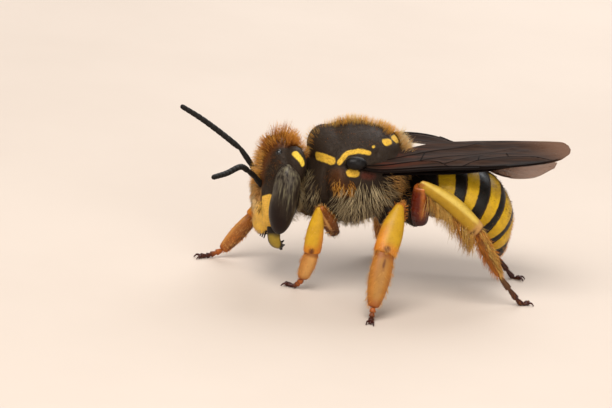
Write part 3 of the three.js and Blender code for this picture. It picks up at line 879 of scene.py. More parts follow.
# Yellow band of each ring: shares where it starts and ends, and the angles from the back between them.
BANDS = {2: (0.16, 0.25, 0.22, 1.85), 3: (0.326, 0.398, 0.2, 2.0), 4: (0.474, 0.545, 0.16, 2.0),
         5: (0.60, 0.69, 0.12, 2.0), 6: (0.736, 0.832, 0.1, 1.95)}
MIDDLE_LENGTH = 9.4
RING_SIDES = 96
RING_COUNT = 7


def ring_faces(rows, sides):
    """Faces between rows of places, each row a closed ring, with both ends capped."""
    faces = [(row * sides + side, row * sides + (side + 1) % sides, (row + 1) * sides + (side + 1) % sides,
              (row + 1) * sides + side) for row in range(rows - 1) for side in range(sides)]
    return faces + [tuple(range(sides))[::-1], tuple(range((rows - 1) * sides, rows * sides))]


def from_rings(name, rings):
    """A closed skin over rows of places, each row a ring with as many places as the next."""
    mesh = bpy.data.meshes.new(name)
    mesh.from_pydata([tuple(place) for place in rings.reshape(-1, 3)], [], ring_faces(*rings.shape[:2]))
    obj = bpy.data.objects.new(name, mesh)
    bpy.context.collection.objects.link(obj)
    lone(obj)
    bpy.ops.object.mode_set(mode="EDIT")
    bpy.ops.mesh.select_all(action="SELECT")
    bpy.ops.mesh.normals_make_consistent(inside=False)
    bpy.ops.object.mode_set(mode="OBJECT")
    return obj


def whole_abdomen():
    """The rounded form that the rings are laid out on."""
    rows, sides = 91, 72
    places = []
    for step in range(rows):
        share = step / (rows - 1)
        draw = max(0.4, (1 - abs(2 * share - 1) ** 14) ** (1 / 14))
        wide = smooth_point(ABDOMEN_WIDE, share)[0] * draw
        deep = smooth_point(ABDOMEN_DEEP, share)[0] * draw
        centre, across, up = ring_at(ABDOMEN_PATH, share, wide, deep, (0, 1, 0))
        for side in range(sides):
            angle = 2 * math.pi * side / sides
            places.append(centre + across * math.sin(angle) + up * math.cos(angle))
    return BVHTree.FromPolygons(places, ring_faces(rows, sides))


def tail_ring(number, form):
    """One horny ring, its front tucked in and its rear edge lipped over the next."""
    start, end = RING_EDGES[number - 1], RING_EDGES[number]
    profile = {1: WAIST_PROFILE, RING_COUNT: TIP_PROFILE}.get(number, RING_PROFILE)
    places, shares, angles = [], [], []
    for along, inset in profile:
        share = start + along * (end - start)
        lean = math.radians(np.interp(share, RING_EDGES, RING_LEANS))
        centre = Vector(smooth_point(ABDOMEN_PATH, share))
        up = Vector((math.sin(lean), 0, math.cos(lean)))
        for side in range(RING_SIDES):
            angle = 2 * math.pi * side / RING_SIDES
            way = up * math.cos(angle) + Vector((0, math.sin(angle), 0))
            hit = form.ray_cast(centre, way)[3]
            places.append(centre + way * max((hit or 0.3) - inset, 0.02))
            shares.append(share)
            angles.append(min(angle, 2 * math.pi - angle))
    ring = from_rings("ring", np.array(places).reshape(len(profile), RING_SIDES, 3))
    return ring, np.array(shares), np.array(angles)


def band_depth(number, share, angle):
    """How far inside the yellow band of its ring each place lies, in millimetres."""
    if number not in BANDS:
        return np.full(len(share), -1.0)
    first, last, top, low = BANDS[number]
    taper = 0.018 * held((angle - low + 0.6) / 0.6) ** 2
    return np.min([(share - first - taper) * MIDDLE_LENGTH, (last - taper - share) * MIDDLE_LENGTH,
                   (angle - top) * 2.3, (low - angle) * 2.0], axis=0)


def ring_shade(number, share, angle):
    """Black above, dark brown beneath, and a thin brown rim along the rear edge."""
    start, end = RING_EDGES[number - 1], RING_EDGES[number]
    along = (share - start) / (end - start)
    shade = mixed(BLACK, linear("3a2a1c"), held((angle - 2.0) / 0.5))
    return mixed(shade, RUST * 0.5, 0.35 * held((along - 0.95) / 0.04) * (angle < 2.4))


# ------------------------------------------------------------------ legs
# How far each length's shell lies inside its drawn size, and what that differs by on the hind legs.
LEG_COATS = dict(femur=0.08, tibia=0.05, basitarsus=0.09)
HIND_COATS = dict(femur=-0.14, tibia=-0.07, basitarsus=0.12)
# How full each length is at its upper and lower end.
LEG_TIPS = dict(femur=(0.6, 0.7), tibia=(0.3, 0.7), basitarsus=(0.72, 0.45))
# How far the upper ends run up into the joint above.
TIBIA_TUCK = dict(front=0.02, mid=0.08, hind=0.16)
BASITARSUS_TUCK = 0.16
HIND_TIBIA_BOW = Vector((0.08, 0, 0.25))
STEEP = 0.8


def foot_path(heel, toe):
    reach = Vector((toe[0] - heel[0], toe[1] - heel[1], 0)).normalized()
    return [heel, tuple(Vector(toe) - reach * FOOT_LENGTH), toe]


def leg_frame(start, end):
    lean = (Vector(end) - Vector(start)).normalized()
    return (0, 0, 1) if abs(lean.x) > STEEP else (1, 0, 0)


def leg_length(pair, length, start, end):
    """The shell of one length of leg, or the jointed foot."""
    if length == "tarsus":
        return jointed_foot(foot_path(start, end))
    wide = LEG_SIZES[pair][length]
    thick = [max(0.2, size * 0.7) for size in wide]
    inset = LEG_COATS[length] + HIND_COATS.get(length, 0) * (pair == "hind")
    first, last = LEG_TIPS[length]
    across = leg_frame(start, end)
    start, end = Vector(start), Vector(end)
    way = (end - start).normalized()
    if length == "tibia":
        start = start - way * TIBIA_TUCK[pair]
    if length == "basitarsus":
        start = start - way * BASITARSUS_TUCK
    bow = HIND_TIBIA_BOW if pair == "hind" and length == "tibia" else Vector()
    path = [tuple(start), tuple((start + end) / 2 + bow), tuple(end)]
    rings = limb_rings(path, wide, thick, across, 16, inset, first, 5, last)
    shell = draw_out(length, rings, 20)
    apply_modifier(shell, "SUBSURF", levels=1, render_levels=1)
    return shell


def leg_facing(places, start, end, side):
    """Share along a length of leg, and how far its surface turns outward and forward."""
    way = np.subtract(end, start)
    share = (places - start) @ way / (way @ way)
    off = places - start - share[:, None] * way
    off /= np.linalg.norm(off, axis=1)[:, None] + 1e-9
    return held(share), off[:, 1] * side, -off[:, 0], off[:, 2]


def leg_shades(pair, length, share, outward, forward, upward):
    """The colours of one length of leg: its ground, and what is laid over it, painted highlights and painted
    shade among them.
    """
    if length == "femur":
        root, tip, line = FEMUR_TONES[pair]
        # On the hind femur the streak is a painted highlight down its middle; on the others it is a pale line
        # of the leg's own.
        if pair == "hind":
            streak = 0.9 * eased(0.5 - np.abs(forward + 0.1), 0.0, 0.4)
        else:
            streak = eased(0.35 - np.abs(forward - 0.15), 0.0, 0.25)
        return layered(mixed(root, tip, eased(share, 0.05, 0.5)),
                       (ORANGE * 0.6, (0.5 if pair == "hind" else 0.8) * eased(share, 0.86, 0.99)),
                       (line, 0.8 * streak * eased(share, 0.15, 0.4) * eased(outward, 0.0, 0.5)))
    if length == "tibia":
        side = -forward if pair == "front" else forward
        layers = [(AMBER, 0.85 * eased(side, 0.2, 0.9) * eased(share, 0.3, 0.7)),
                  (COPPER, 0.9 * eased(-outward, 0.1, 0.7)),
                  (CHESTNUT, 0.8 * eased(-share, -0.03, 0.0) * (pair != "front"))]
        if pair == "hind":
            slit = eased(0.03 - np.abs(share - 0.93), 0.0, 0.02) * eased(-upward, -0.5, 0.3)
            # Painted highlight along the upper side.
            layers += [(TOP_HIGHLIGHT, 0.6 * eased(0.17 - np.abs(upward - 0.7), 0.0, 0.15)),
                       (DARK_EDGE, 0.8 * eased(upward, 0.84, 0.97) * eased(share, 0.08, 0.25)),
                       # Painted shade on the underside, under the fringe.
                       (UNDERSIDE_SHADE, 0.7 * eased(-upward, 0.25, 0.7)),
                       (PALE_RIM, 0.75 * eased(share, 0.86, 0.93)),
                       (DARK_SLIT, 0.8 * slit),
                       (HEEL_BROWN, 0.8 * eased(share, 0.97, 1.0))]
        else:
            ahead = 0.3 if pair == "front" else 0.05
            spot = np.hypot((share - 0.93) * 3.2, (forward - ahead) * 0.55)
            layers += [(END_ORANGE, 0.85 * eased(share, 0.74, 0.93)),
                       (SPOT_BROWN, 0.92 * eased(0.3 - spot, 0.0, 0.18) * eased(outward, 0.0, 0.4)),
                       (END_BROWN, 0.5 * eased(share, 0.97, 1.0))]
        return layered(YELLOW * TIBIA_TONE_AND_SHADE[pair], *layers)
    if length == "basitarsus":
        return layered(BASITARSUS_TONES[pair],
                       (SIDE_ORANGE, 0.6 * eased(np.abs(forward), 0.35, 0.95)),
                       (INNER_BROWN, 0.8 * eased(-outward, 0.1, 0.7)),
                       # Painted shade on the lower rear of the inner side.
                       (DARK_RED, 0.7 * eased(-outward, 0.0, 0.5) * eased(-forward, 0.0, 0.8)),
                       (ROOT_BROWN, 0.7 * eased(-share, -0.13, -0.03)),
                       (TIP_BROWN, eased(share, 0.78, 1.0)))
    return mixed(FOOT_TONES[pair], DARK_RED * 0.8, eased(share, 0.15, 0.7))


def leg_slit(pair, length, share, outward, forward):
    """The dark slit on each middle basitarsus, as a depth in millimetres."""
    if length == "basitarsus" and pair == "mid":
        return 0.08 - np.hypot((share - 0.2) * 0.8, (outward < 0) * 2 + np.abs(forward) * 0.5)
    return np.full(len(share), -1.0)


def rest_on_floor(obj):
    """Presses the underside of a foot flat where it meets the floor."""
    places = corners(obj)
    places[:, 2] = np.maximum(places[:, 2], 0.0)
    reshape(obj, places)
    return obj


# Shares of a foot where its joints begin, and the swelling of each joint: share of its length and size.
FOOT_JOINTS = (0.0, 0.2, 0.38, 0.55, 1.0)
FOOT_SWELLING = ((0.02, 0.6), (0.25, 0.85), (0.75, 1.1), (0.95, 1.15), (0.99, 0.7))


def jointed_foot(path):
    rings = []
    across = (0, 0, 1) if abs(heading(path, 0.5).x) > STEEP else (1, 0, 0)
    for start, end in zip(FOOT_JOINTS, FOOT_JOINTS[1:]):
        for within, size in FOOT_SWELLING:
            share = start + within * (end - start)
            radius = (0.155 - 0.03 * share) * size
            rings.append(ring_at(path, share, radius, radius * 0.85, across))
    return rest_on_floor(draw_out("foot", rings, 12))


def claws(heel, toe):
    """Two hooked claws and the pad between them, at the toe."""
    path = foot_path(heel, toe)
    way = heading(path, 0.99)
    side = way.cross(Vector((0, 0, 1))).normalized()
    parts = []
    for hand in (-1, 1):
        root = Vector(toe) + side * 0.05 * hand
        knee = root + way * 0.16 + side * 0.12 * hand + Vector((0, 0, 0.03))
        tip = root + way * 0.3 + side * 0.14 * hand
        root.z, knee.z, tip.z = toe[2], toe[2] + 0.02, 0.03
        parts.append(draw_out("claw", limb_rings([root, knee, tip], (0.07, 0.055, 0.015), (0.07, 0.05, 0.015),
                                                 (0, 0, 1), 6, tip=0.6), 10))
    pad = Vector(toe) + way * 0.06
    parts.append(lobe("pad", (pad.x, pad.y, 0.1), (0.09, 0.09, 0.09), segments=14, rings=8))
    return rest_on_floor(join("claws", parts))


# ------------------------------------------------------------------ coat
HAIR_SIDES = 3
HAIR_STEPS = 3
HAIR_TAPER = (0.8, 1.0, 0.72)
HAIR_FLOOR = 0.02
LOCK = 6                        # hairs to a lock, on average
PATCH = 0.003


def unit(rows):
    return rows / (np.linalg.norm(rows, axis=1)[:, None] + 1e-12)


class Ground:
    """A finished skin that hair can be rooted in, in millimetres on the bee's own axes."""

    def __init__(self, obj):
        mesh = obj.data
        mesh.calc_loop_triangles()
        ends = np.empty(len(mesh.loop_triangles) * 3, int)
        mesh.loop_triangles.foreach_get("vertices", ends)
        self.ends = ends.reshape(-1, 3)
        self.places = corners(obj) / MM - STANCE
        self.facing = facing(obj)
        first, second, third = (self.places[self.ends[:, i]] for i in range(3))
        self.middle = (first + second + third) / 3
        self.area = np.linalg.norm(np.cross(second - first, third - first), axis=1) / 2

    def scatter(self, weight, count, random):
        """Places and outward ways of hair roots, spread by area and weight."""
        share = np.cumsum(self.area * weight)
        chosen = np.searchsorted(share, random.random(count) * share[-1])
        chosen = np.minimum(chosen, len(self.ends) - 1)
        one, two = random.random(count), random.random(count)
        flip = one + two > 1
        one[flip], two[flip] = 1 - one[flip], 1 - two[flip]
        mix = np.stack([1 - one - two, one, two], axis=1)[:, :, None]
        ends = self.ends[chosen]
        return (self.places[ends] * mix).sum(axis=1), unit((self.facing[ends] * mix).sum(axis=1))


def hairs(roots, normals, lie, lift, length, width, bend, clump, random, waver):
    """Rows of hair: each is a line of places from root to tip, gathered a little into locks."""
    count = len(roots)
    lie = unit(np.broadcast_to(lie, roots.shape) + random.normal(0, waver, roots.shape))
    flat = unit(lie - normals * np.sum(lie * normals, axis=1)[:, None])
    lift = np.clip(lift + random.normal(0, 0.08, count), 0.02, 1)[:, None]
    start = unit(normals * lift + flat * (1 - lift))
    end = unit(start * (1 - bend) + lie * bend)
    size = (length * random.uniform(0.5, 1.12, count))[:, None]
    shares = np.linspace(0, 1, HAIR_STEPS + 1)
    lines = np.stack([roots - normals * 0.02 + size * (start * share + (end - start) * share ** 2 / 2)
                      for share in shares], axis=1)
    if clump:
        leaders = np.arange(0, count, LOCK)
        tree = KDTree(len(leaders))
        for order, leader in enumerate(leaders):
            tree.insert(roots[leader], order)
        tree.balance()
        lead = np.array([leaders[tree.find(root)[1]] for root in roots])
        pull = (lines[lead, -1] - lines[:, -1]) * clump
        lines += pull[:, None, :] * (shares[None, :, None] ** 1.5)
    girth = width * random.uniform(0.75, 1.2, count)
    return lines, girth


def wrap(lines, girth, name, tints, unwrapped, finish, root_shade_lift):
    """Thin solid hairs round their lines, each with a patch of its own at its root's place in the unwrap."""
    count, rows = lines.shape[:2]
    rings = rows - 1
    way = unit(lines[:, -1] - lines[:, 0])
    side = unit(np.cross(way, [0.31, 0.77, 0.55]))
    other = np.cross(way, side)
    turns = [2 * math.pi * step / HAIR_SIDES for step in range(HAIR_SIDES)]
    each = rings * HAIR_SIDES + 1
    places = np.empty((count, each, 3))
    reach = np.ones((count, each))
    flat = np.empty((count, each, 2))
    for ring in range(rings):
        for order, turn in enumerate(turns):
            corner = ring * HAIR_SIDES + order
            spread = (side * math.cos(turn) + other * math.sin(turn)) * (girth * HAIR_TAPER[ring])[:, None]
            places[:, corner] = lines[:, ring] + spread
            # The painted root shade starts this far along the hair: more lift leaves the roots less dark.
            reach[:, corner] = root_shade_lift + (1 - root_shade_lift) * ring / rings
            flat[:, corner] = (order / (HAIR_SIDES - 1) - 0.5, ring / rings - 0.5)
    places[:, -1] = lines[:, -1]
    flat[:, -1] = (0, 0.5)
    faces = [(0, 2, 1)]
    for ring in range(rings - 1):
        for order in range(HAIR_SIDES):
            here, onward = ring * HAIR_SIDES + order, ring * HAIR_SIDES + (order + 1) % HAIR_SIDES
            faces += [(here, onward, onward + HAIR_SIDES), (here, onward + HAIR_SIDES, here + HAIR_SIDES)]
    last = (rings - 1) * HAIR_SIDES
    faces += [(last + order, last + (order + 1) % HAIR_SIDES, each - 1) for order in range(HAIR_SIDES)]
    faces = np.array(faces)
    ends = (faces[None] + np.arange(count)[:, None, None] * each).reshape(-1, 3)
    mesh = bpy.data.meshes.new(name)
    mesh.vertices.add(count * each)
    mesh.vertices.foreach_set("co", ((places + STANCE) * MM).ravel())
    mesh.loops.add(len(ends) * 3)
    mesh.loops.foreach_set("vertex_index", ends.ravel())
    mesh.polygons.add(len(ends))
    mesh.polygons.foreach_set("loop_start", np.arange(len(ends)) * 3)
    mesh.polygons.foreach_set("loop_total", np.full(len(ends), 3))
    mesh.update(calc_edges=True)
    layer = mesh.uv_layers.new(name="OFBake")
    spots = (unwrapped[:, None, :] + flat * PATCH).reshape(-1, 2)
    layer.data.foreach_set("uv", spots[ends.ravel()].ravel())
    obj = bpy.data.objects.new(name, mesh)
    bpy.context.collection.objects.link(obj)
    tint(obj, "tint", np.repeat(tints, each, axis=0))
    measure(obj, "reach", reach.ravel())
    lone(obj)
    bpy.ops.object.shade_smooth()
    mesh.materials.append(finish)
    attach(obj, "root")
    return obj


def unrolled(share, turn):
    """Places on an unrolled skin from a share along it and a turn round it, with a margin for each patch."""
    return np.stack([share, turn], axis=1) * (1 - 2 * PATCH) + PATCH


def round_trunk(roots, normals):
    """The trunk's skin unrolled round its length, head at one end."""
    middle = np.where(roots[:, 0] < -5.3, 5.4, 6.0)
    turn = np.arctan2(roots[:, 1], roots[:, 2] - middle) / (2 * math.pi) + 0.5
    return unrolled(held((roots[:, 0] + 8.0) / 9.6), turn)


def near(places, centre, reach, soft=0.35):
    away = np.sqrt(np.sum(((folded(places) - centre) / reach) ** 2, axis=1))
    return held((1 - away) / soft)


def zone_tints(roots, tones, random):
    """Colours of one zone: its tones drift from place to place, and every hair differs a little."""
    ripple = 1.3 * np.sin(roots @ np.array([-2.2, 5.1, 1.9]))
    drift = 0.5 + 0.5 * np.sin(roots @ np.array([3.1, 2.3, 4.7]) + ripple)
    pick = held(drift + random.normal(0, 0.25, len(roots)))
    shade = mixed(tones[0], tones[1], pick)
    return shade * random.uniform(0.8, 1.2, len(roots))[:, None]


class Coat:
    """The hairs of one joined piece, grown zone by zone."""

    def __init__(self, seed):
        self.random = np.random.default_rng(seed)
        self.grown = []

    def grow(self, ground, weight, way, hair, unroll, bend, clump, waver=0.24):
        """Adds one zone of hair, given as its length, width, lift, tones and count."""
        length, width, lift, tones, count = hair
        roots, normals = ground.scatter(weight, count, self.random)
        lie = way(roots) if callable(way) else way[None]
        lines, girth = hairs(roots, normals, lie, lift, length, width, bend, clump, self.random, waver)
        self.grown.append((lines, girth, zone_tints(roots, tones, self.random), unroll(roots, normals)))

    def finish(self, name, finish, slot="coat", root_shade_lift=0.0):
        lines, girths, tints, flat = (np.concatenate(rows) for rows in zip(*self.grown))
        lines[:, :, 2] = np.maximum(lines[:, :, 2], HAIR_FLOOR)
        wrap(lines, girths, name, tints, flat, finish, root_shade_lift)


# Zones of the trunk's coat: centre, reach, lie, fan, lift, length, width, bend, clump, tones, count.
TRUNK_ZONES = {
    "coat_scutum": [
        ((-2.7, 0, 8.9), (2.4, 0.7, 0.9), (-0.15, 0, 0.8), 0.1, 0.92, 0.46, 0.006, 0.2, 0.1,
         (GINGER, STRAW), 780),
        ((-4.85, 0, 7.7), (0.6, 1.0, 1.2), (-0.5, 0, 0.8), 0, 0.8, 0.42, 0.006, 0.3, 0.1,
         (STRAW, GINGER), 150),
        ((-2.8, -0.8, 8.3), (2.1, 1.5, 1.1), (-0.2, -0.2, 0.5), 0, 0.6, 0.16, 0.006, 0.2, 0.0,
         (DUN, RUST), 420),
    ],
    "coat_scutellum": [
        ((-0.6, 0, 8.2), (0.9, 1.3, 0.7), (0.3, 0, 0.9), 0, 0.85, 0.5, 0.006, 0.25, 0.1,
         (GINGER, STRAW * 0.8), 480),
        ((0.1, 0, 7.3), (0.8, 1.5, 1.0), (0.8, 0, 0.4), 0, 0.5, 0.9, 0.008, 0.35, 0.15,
         (CREAM, TAN * 0.8), 950),
        ((0.3, 0, 7.3), (0.6, 1.5, 0.9), (1.0, 0, 0.12), 0, 0.25, 1.65, 0.009, 0.3, 0.15,
         (CREAM, TAN * 0.8), 560),
        ((0.2, -1.2, 6.0), (0.8, 1.2, 1.3), (0.7, -0.3, -0.2), 0, 0.45, 0.5, 0.009, 0.4, 0.3,
         (TAN, DUN), 420),
    ],
    "coat_flank": [
        ((-2.2, -2.4, 5.2), (1.7, 1.3, 1.5), (0, -0.15, -0.9), 0.5, 0.42, 0.95, 0.0095, 0.3, 0.2,
         (CREAM, GREY), 780),
        ((-2.4, -1.5, 3.9), (1.9, 1.7, 1.0), (0.1, -0.1, -0.9), 0.3, 0.45, 0.5, 0.009, 0.4, 0.25,
         (GREY, DUN), 460),
        ((-0.75, -2.0, 6.1), (0.9, 0.9, 0.9), (0.9, -0.2, -0.25), 0, 0.35, 0.6, 0.009, 0.5, 0.25,
         (TAN, GREY), 520),
        ((-3.6, -2.5, 5.9), (0.35, 0.5, 0.6), (-0.1, -0.5, -0.6), 0, 0.55, 0.42, 0.009, 0.3, 0.2,
         (GINGER * 1.1, TAN), 170),
        ((-3.05, -2.4, 5.95), (0.4, 0.5, 0.5), (0.3, -0.5, -0.6), 0, 0.5, 0.4, 0.009, 0.4, 0.2,
         (GINGER, RUST), 130),
        ((-4.1, -2.3, 6.2), (0.5, 0.6, 0.7), (-0.2, -0.4, -0.6), 0, 0.5, 0.25, 0.007, 0.3, 0.1,
         (RUST * 0.6, DUN * 0.5), 160),
    ],
    "coat_neck": [
        ((-4.85, -1.5, 5.1), (0.75, 1.4, 1.6), (-0.3, -0.3, -0.85), 0, 0.4, 0.7, 0.009, 0.5, 0.25,
         (GREY, DUN), 520),
        ((-5.5, -1.5, 4.8), (0.5, 1.0, 1.6), (0.7, -0.3, -0.7), 0, 0.5, 0.55, 0.009, 0.5, 0.25,
         (GREY, DUN), 380),
        ((-5.35, -0.5, 7.1), (0.45, 0.9, 0.6), (0.5, 0, 0.7), 0, 0.6, 0.5, 0.008, 0.4, 0.2,
         (GINGER, RUST), 160),
    ],
    "coat_crown": [
        ((-6.1, 0, 7.5), (0.75, 1.5, 0.6), (0.15, 0, 1.0), 0.6, 0.8, 0.9, 0.007, 0.3, 0.12,
         (GINGER, RUST), 480),
        ((-5.75, -0.9, 7.2), (0.5, 0.75, 0.45), (0.5, -0.1, 0.7), 0, 0.6, 0.6, 0.008, 0.4, 0.15,
         (GINGER, RUST), 240),
        ((-6.8, 0, 7.1), (0.7, 1.2, 0.8), (-0.5, 0, 0.9), 0, 0.85, 0.5, 0.007, 0.3, 0.05,
         (RUST, GINGER), 460),
        ((-7.3, 0, 6.1), (0.6, 1.05, 1.1), (-0.9, 0, 0.1), 0, 0.75, 0.46, 0.007, 0.3, 0.08,
         (TAN, GINGER), 600),
        ((-7.4, 0, 5.4), (0.5, 1.0, 0.6), (-0.9, 0, -0.3), 0, 0.7, 0.4, 0.007, 0.3, 0.08, (TAN, GINGER), 260),
        ((-6.9, -1.35, 6.3), (0.6, 0.8, 1.2), (-0.4, -0.5, 0.3), 0, 0.4, 0.25, 0.007, 0.3, 0.1,
         (DUN, RUST * 0.6), 380),
    ],
    "coat_face": [
        ((-7.5, 0, 4.9), (0.5, 1.0, 0.7), (-0.5, 0, -0.8), 0, 0.45, 0.34, 0.008, 0.4, 0.1, (TAN, CREAM), 360),
        ((-7.3, -0.9, 4.5), (0.4, 0.4, 0.9), (-0.5, -0.3, -0.8), 0, 0.4, 0.26, 0.007, 0.4, 0.1,
         (RUST * 0.7, DUN), 190),
        ((-7.4, 0, 3.7), (0.5, 0.5, 0.9), (-0.6, 0, -0.8), 0, 0.5, 0.2, 0.007, 0.4, 0.1, (TAN, CREAM), 160),
        ((-7.0, 0, 2.6), (0.5, 1.2, 0.35), (-0.3, 0, -1.0), 0, 0.4, 0.2, 0.007, 0.4, 0.1, (TAN, CREAM), 130),
    ],
    "coat_coxae": [
        ((-2.6, -1.2, 3.1), (2.8, 1.3, 0.9), (0.1, 0, -1.0), 0, 0.5, 0.36, 0.009, 0.4, 0.3, (GREY, DUN), 480),
        ((0.6, -1.5, 4.1), (0.9, 1.0, 0.8), (0.5, 0, -0.8), 0, 0.45, 0.26, 0.009, 0.4, 0.2, (DUN, GREY), 160),
    ],
}
# Coat of each length of leg: hair length, width, lift, tones and count.
LEG_HAIR = {
    "front": dict(femur=(0.3, 0.009, 0.6, (TAN, RUST), 260), tibia=(0.16, 0.008, 0.6, (ORANGE, TAN), 240),
                  basitarsus=(0.22, 0.008, 0.6, (TAN, ORANGE), 320),
                  tarsus=(0.1, 0.006, 0.5, (RUST, DUN), 120)),
    "mid": dict(femur=(0.36, 0.009, 0.6, (TAN, ORANGE), 300), tibia=(0.18, 0.008, 0.6, (ORANGE, TAN), 320),
                basitarsus=(0.3, 0.007, 0.6, (TAN, GINGER), 760),
                tarsus=(0.12, 0.006, 0.5, (RUST, DUN), 120)),
    "hind": dict(femur=(0.2, 0.008, 0.5, (TAN, DUN), 50), tibia=(0.16, 0.008, 0.5, (TAN, GINGER), 260),
                 basitarsus=(0.46, 0.009, 0.62, (ORANGE * 0.9, RUST), 620),
                 tarsus=(0.18, 0.007, 0.5, (RUST, DUN), 160)),
}
STREAK_HAIR = (0.5, 0.01, 0.25, (STRAW, STRAW * 0.7), 420)
FRINGE_HAIR = (1.35, 0.009, 0.35, (STRAW * 0.72, ORANGE * 0.55), 760)
JOINT_HAIR = (0.32, 0.007, 0.3, (GINGER, TAN), 260)
# Hair of a tail ring: at its rear edge, low down, on the back and on the side;
# the first rings have less on the back.
RING_EDGE_HAIR = (0.12, 0.006, 0.2, (BROWN_BLACK, DUN), 160)
LOW_HAIR = (0.3, 0.008, 0.35, (DUN, RUST), 300)
BACK_HAIR = (0.17, 0.006, 0.6)
SIDE_HAIR = (0.24, 0.007, 0.3, (BROWN_BLACK, TAN))
FIRST_RINGS = 3
PALE_RINGS = 5


def leg_coat(leg, shells, joints, finish, seed):
    """Short hair all down a leg, longer on the basitarsus, and the curtain under a hind tibia."""
    coat = Coat(seed)
    pair, side_name = leg.split("_")
    side = SIDES[side_name]
    for order, (length, shell) in enumerate(shells.items()):
        start, end = joints[order + 1], joints[order + 2]
        ground = Ground(shell)
        share, outward, forward, upward = leg_facing(ground.middle, start, end, side)

        def unroll(roots, normals):
            turn = np.arctan2(normals[:, 1], normals[:, 2]) / (2 * math.pi) + 0.5
            return unrolled((order + leg_facing(roots, start, end, 1)[0]) / len(shells), turn)

        def grow(weight, way, hair):
            coat.grow(ground, weight, way, hair, unroll, bend=0.4, clump=0.3, waver=0.14)

        along = unit(np.subtract([end], [start]))[0]
        weight = 0.25 + held(1.2 - np.maximum(outward, 0))
        if length == "tibia" or (length == "basitarsus" and pair != "hind"):
            weight = 0.05 + held(-outward) + 2 * held(np.abs(forward) - 0.75)
        elif length == "basitarsus":
            weight = (0.3 + held(forward)) * np.clip((1.05 - share) * 3, 0.15, 1)
        elif length == "femur":
            weight = 0.2 + held(-forward) + held(-upward)
        grow(weight, along * 0.8 + np.array([0, 0, -0.2]), LEG_HAIR[pair][length])
        if (pair, length) == ("mid", "tibia"):
            grow(held((share - 0.8) / 0.1), along, JOINT_HAIR)
        if (pair, length) == ("hind", "basitarsus"):
            grow(held(outward + 0.2) * held(0.3 - forward), along, STREAK_HAIR)
        if (pair, length) == ("hind", "tibia"):
            weight = held(-upward - 0.25) * held((share - 0.1) * 6)
            grow(weight, np.array([-0.02, 0.12 * side, -1.0]), FRINGE_HAIR)
    coat.finish(f"coat_{leg}", finish, root_shade_lift=0.45)


def tail_coat(rings, finish):
    """Short hair along the rear edge of each ring, and a longer fringe low on the sides and beneath."""
    coat = Coat(77)
    for number, (ring, share, angle) in enumerate(rings, 1):
        first, last = RING_EDGES[number - 1], RING_EDGES[number]
        ground = Ground(ring)
        along = (share[ground.ends].mean(axis=1) - first) / (last - first)
        turn = angle[ground.ends].mean(axis=1)
        shown = (along > 0.02) & (along < 1.005)
        lean = math.radians(np.interp(last, RING_EDGES, RING_LEANS))
        back = np.array([math.cos(lean), 0, -math.sin(lean)])
        early = number <= FIRST_RINGS
        back_tones = (ORANGE, GINGER) if number > PALE_RINGS else (BROWN_BLACK, RUST * 0.5)

        def unroll(roots, normals):
            spin = np.arctan2(roots[:, 1], normals[:, 2]) / (2 * math.pi) + 0.5
            return unrolled((number - 1 + held((roots[:, 0] - 0.5) / 6)) / RING_COUNT, spin)

        for weight, hair in (
                (held((along - 0.86) / 0.1), RING_EDGE_HAIR),
                (held((turn - 2.0) / 0.3), LOW_HAIR),
                (held((1.5 - turn) / 0.5), (*BACK_HAIR, back_tones, 147 if early else 420)),
                (held((turn - 0.9) / 0.5), (*SIDE_HAIR, 160 if early else 56))):
            coat.grow(ground, weight * shown + 1e-9, back, hair, unroll, bend=0.4, clump=0.1, waver=0.12)
    coat.finish("coat_tail", finish)


def coat_finish():
    made, tree, base = new_finish("soft hair", Roughness=0.6, Specular_IOR_Level=0.15)
    tone = placed(tree, HAIRED, Tint=kept(tree, "tint", True), Reach=kept(tree, "reach"))["Colour"]
    tree.links.new(tone, base.inputs["Base Color"])
    return made


HEAD_COATS = ("coat_crown", "coat_face")


def trunk_coat(ground, finish):
    """The coat of head and trunk, kept off the eyes, ocelli, yellow markings and collar groove."""
    bare = marked(ground.middle) > -0.03
    groove = near_path(folded(ground.middle), COLLAR_GROOVE)
    ocellus = np.min([np.linalg.norm(ground.middle - centre, axis=1) for centre, _ in OCELLI], axis=0)
    x, y, z = EYE["centre"]
    clear = np.array(EYE["half"]) + 0.05
    eyes = np.min([np.sum(((ground.middle - (x, y * side, z)) / clear) ** 2, axis=1) for side in (-1, 1)],
                  axis=0)
    for seed, (name, zones) in enumerate(TRUNK_ZONES.items(), 40):
        coat = Coat(seed)
        for centre, reach, lie, fan, lift, length, width, bend, clump, tones, count in zones:
            weight = near(ground.middle, centre, reach) * (eyes > 1)
            weight *= np.where(bare & (name != "coat_face"), 0.02, 1)
            weight *= np.clip((groove - 0.14) / 0.2, 0.04, 1) * held((ocellus - 0.24) / 0.1)

            def fanned(roots):
                way = np.tile(np.array(lie, float), (len(roots), 1))
                way[:, 1] *= np.where(roots[:, 1] > 0, -1.0, 1.0)
                way[:, 0] += fan * (roots[:, 0] - centre[0])
                return way

            coat.grow(ground, weight, fanned, (length, width, lift, tones, count), round_trunk, bend, clump)
        coat.finish(name, finish, "head_coat" if name in HEAD_COATS else "coat")


# ------------------------------------------------------------------ build
set_camera()

bpy.ops.object.select_all(action="DESELECT")
bpy.ops.mesh.primitive_plane_add(size=FLOOR_WIDTH)
floor = bpy.context.object
floor.name = "floor"
floor_finish, floor_tree, floor_base = new_finish("pale board", Roughness=0.85)
floor_colour = placed(floor_tree, TONED, Colour=opaque("cfc1b5"), Amount=0.06, Scale=0.05)["Colour"]
floor_tree.links.new(floor_colour, floor_base.inputs["Base Color"])
floor.data.materials.append(floor_finish)


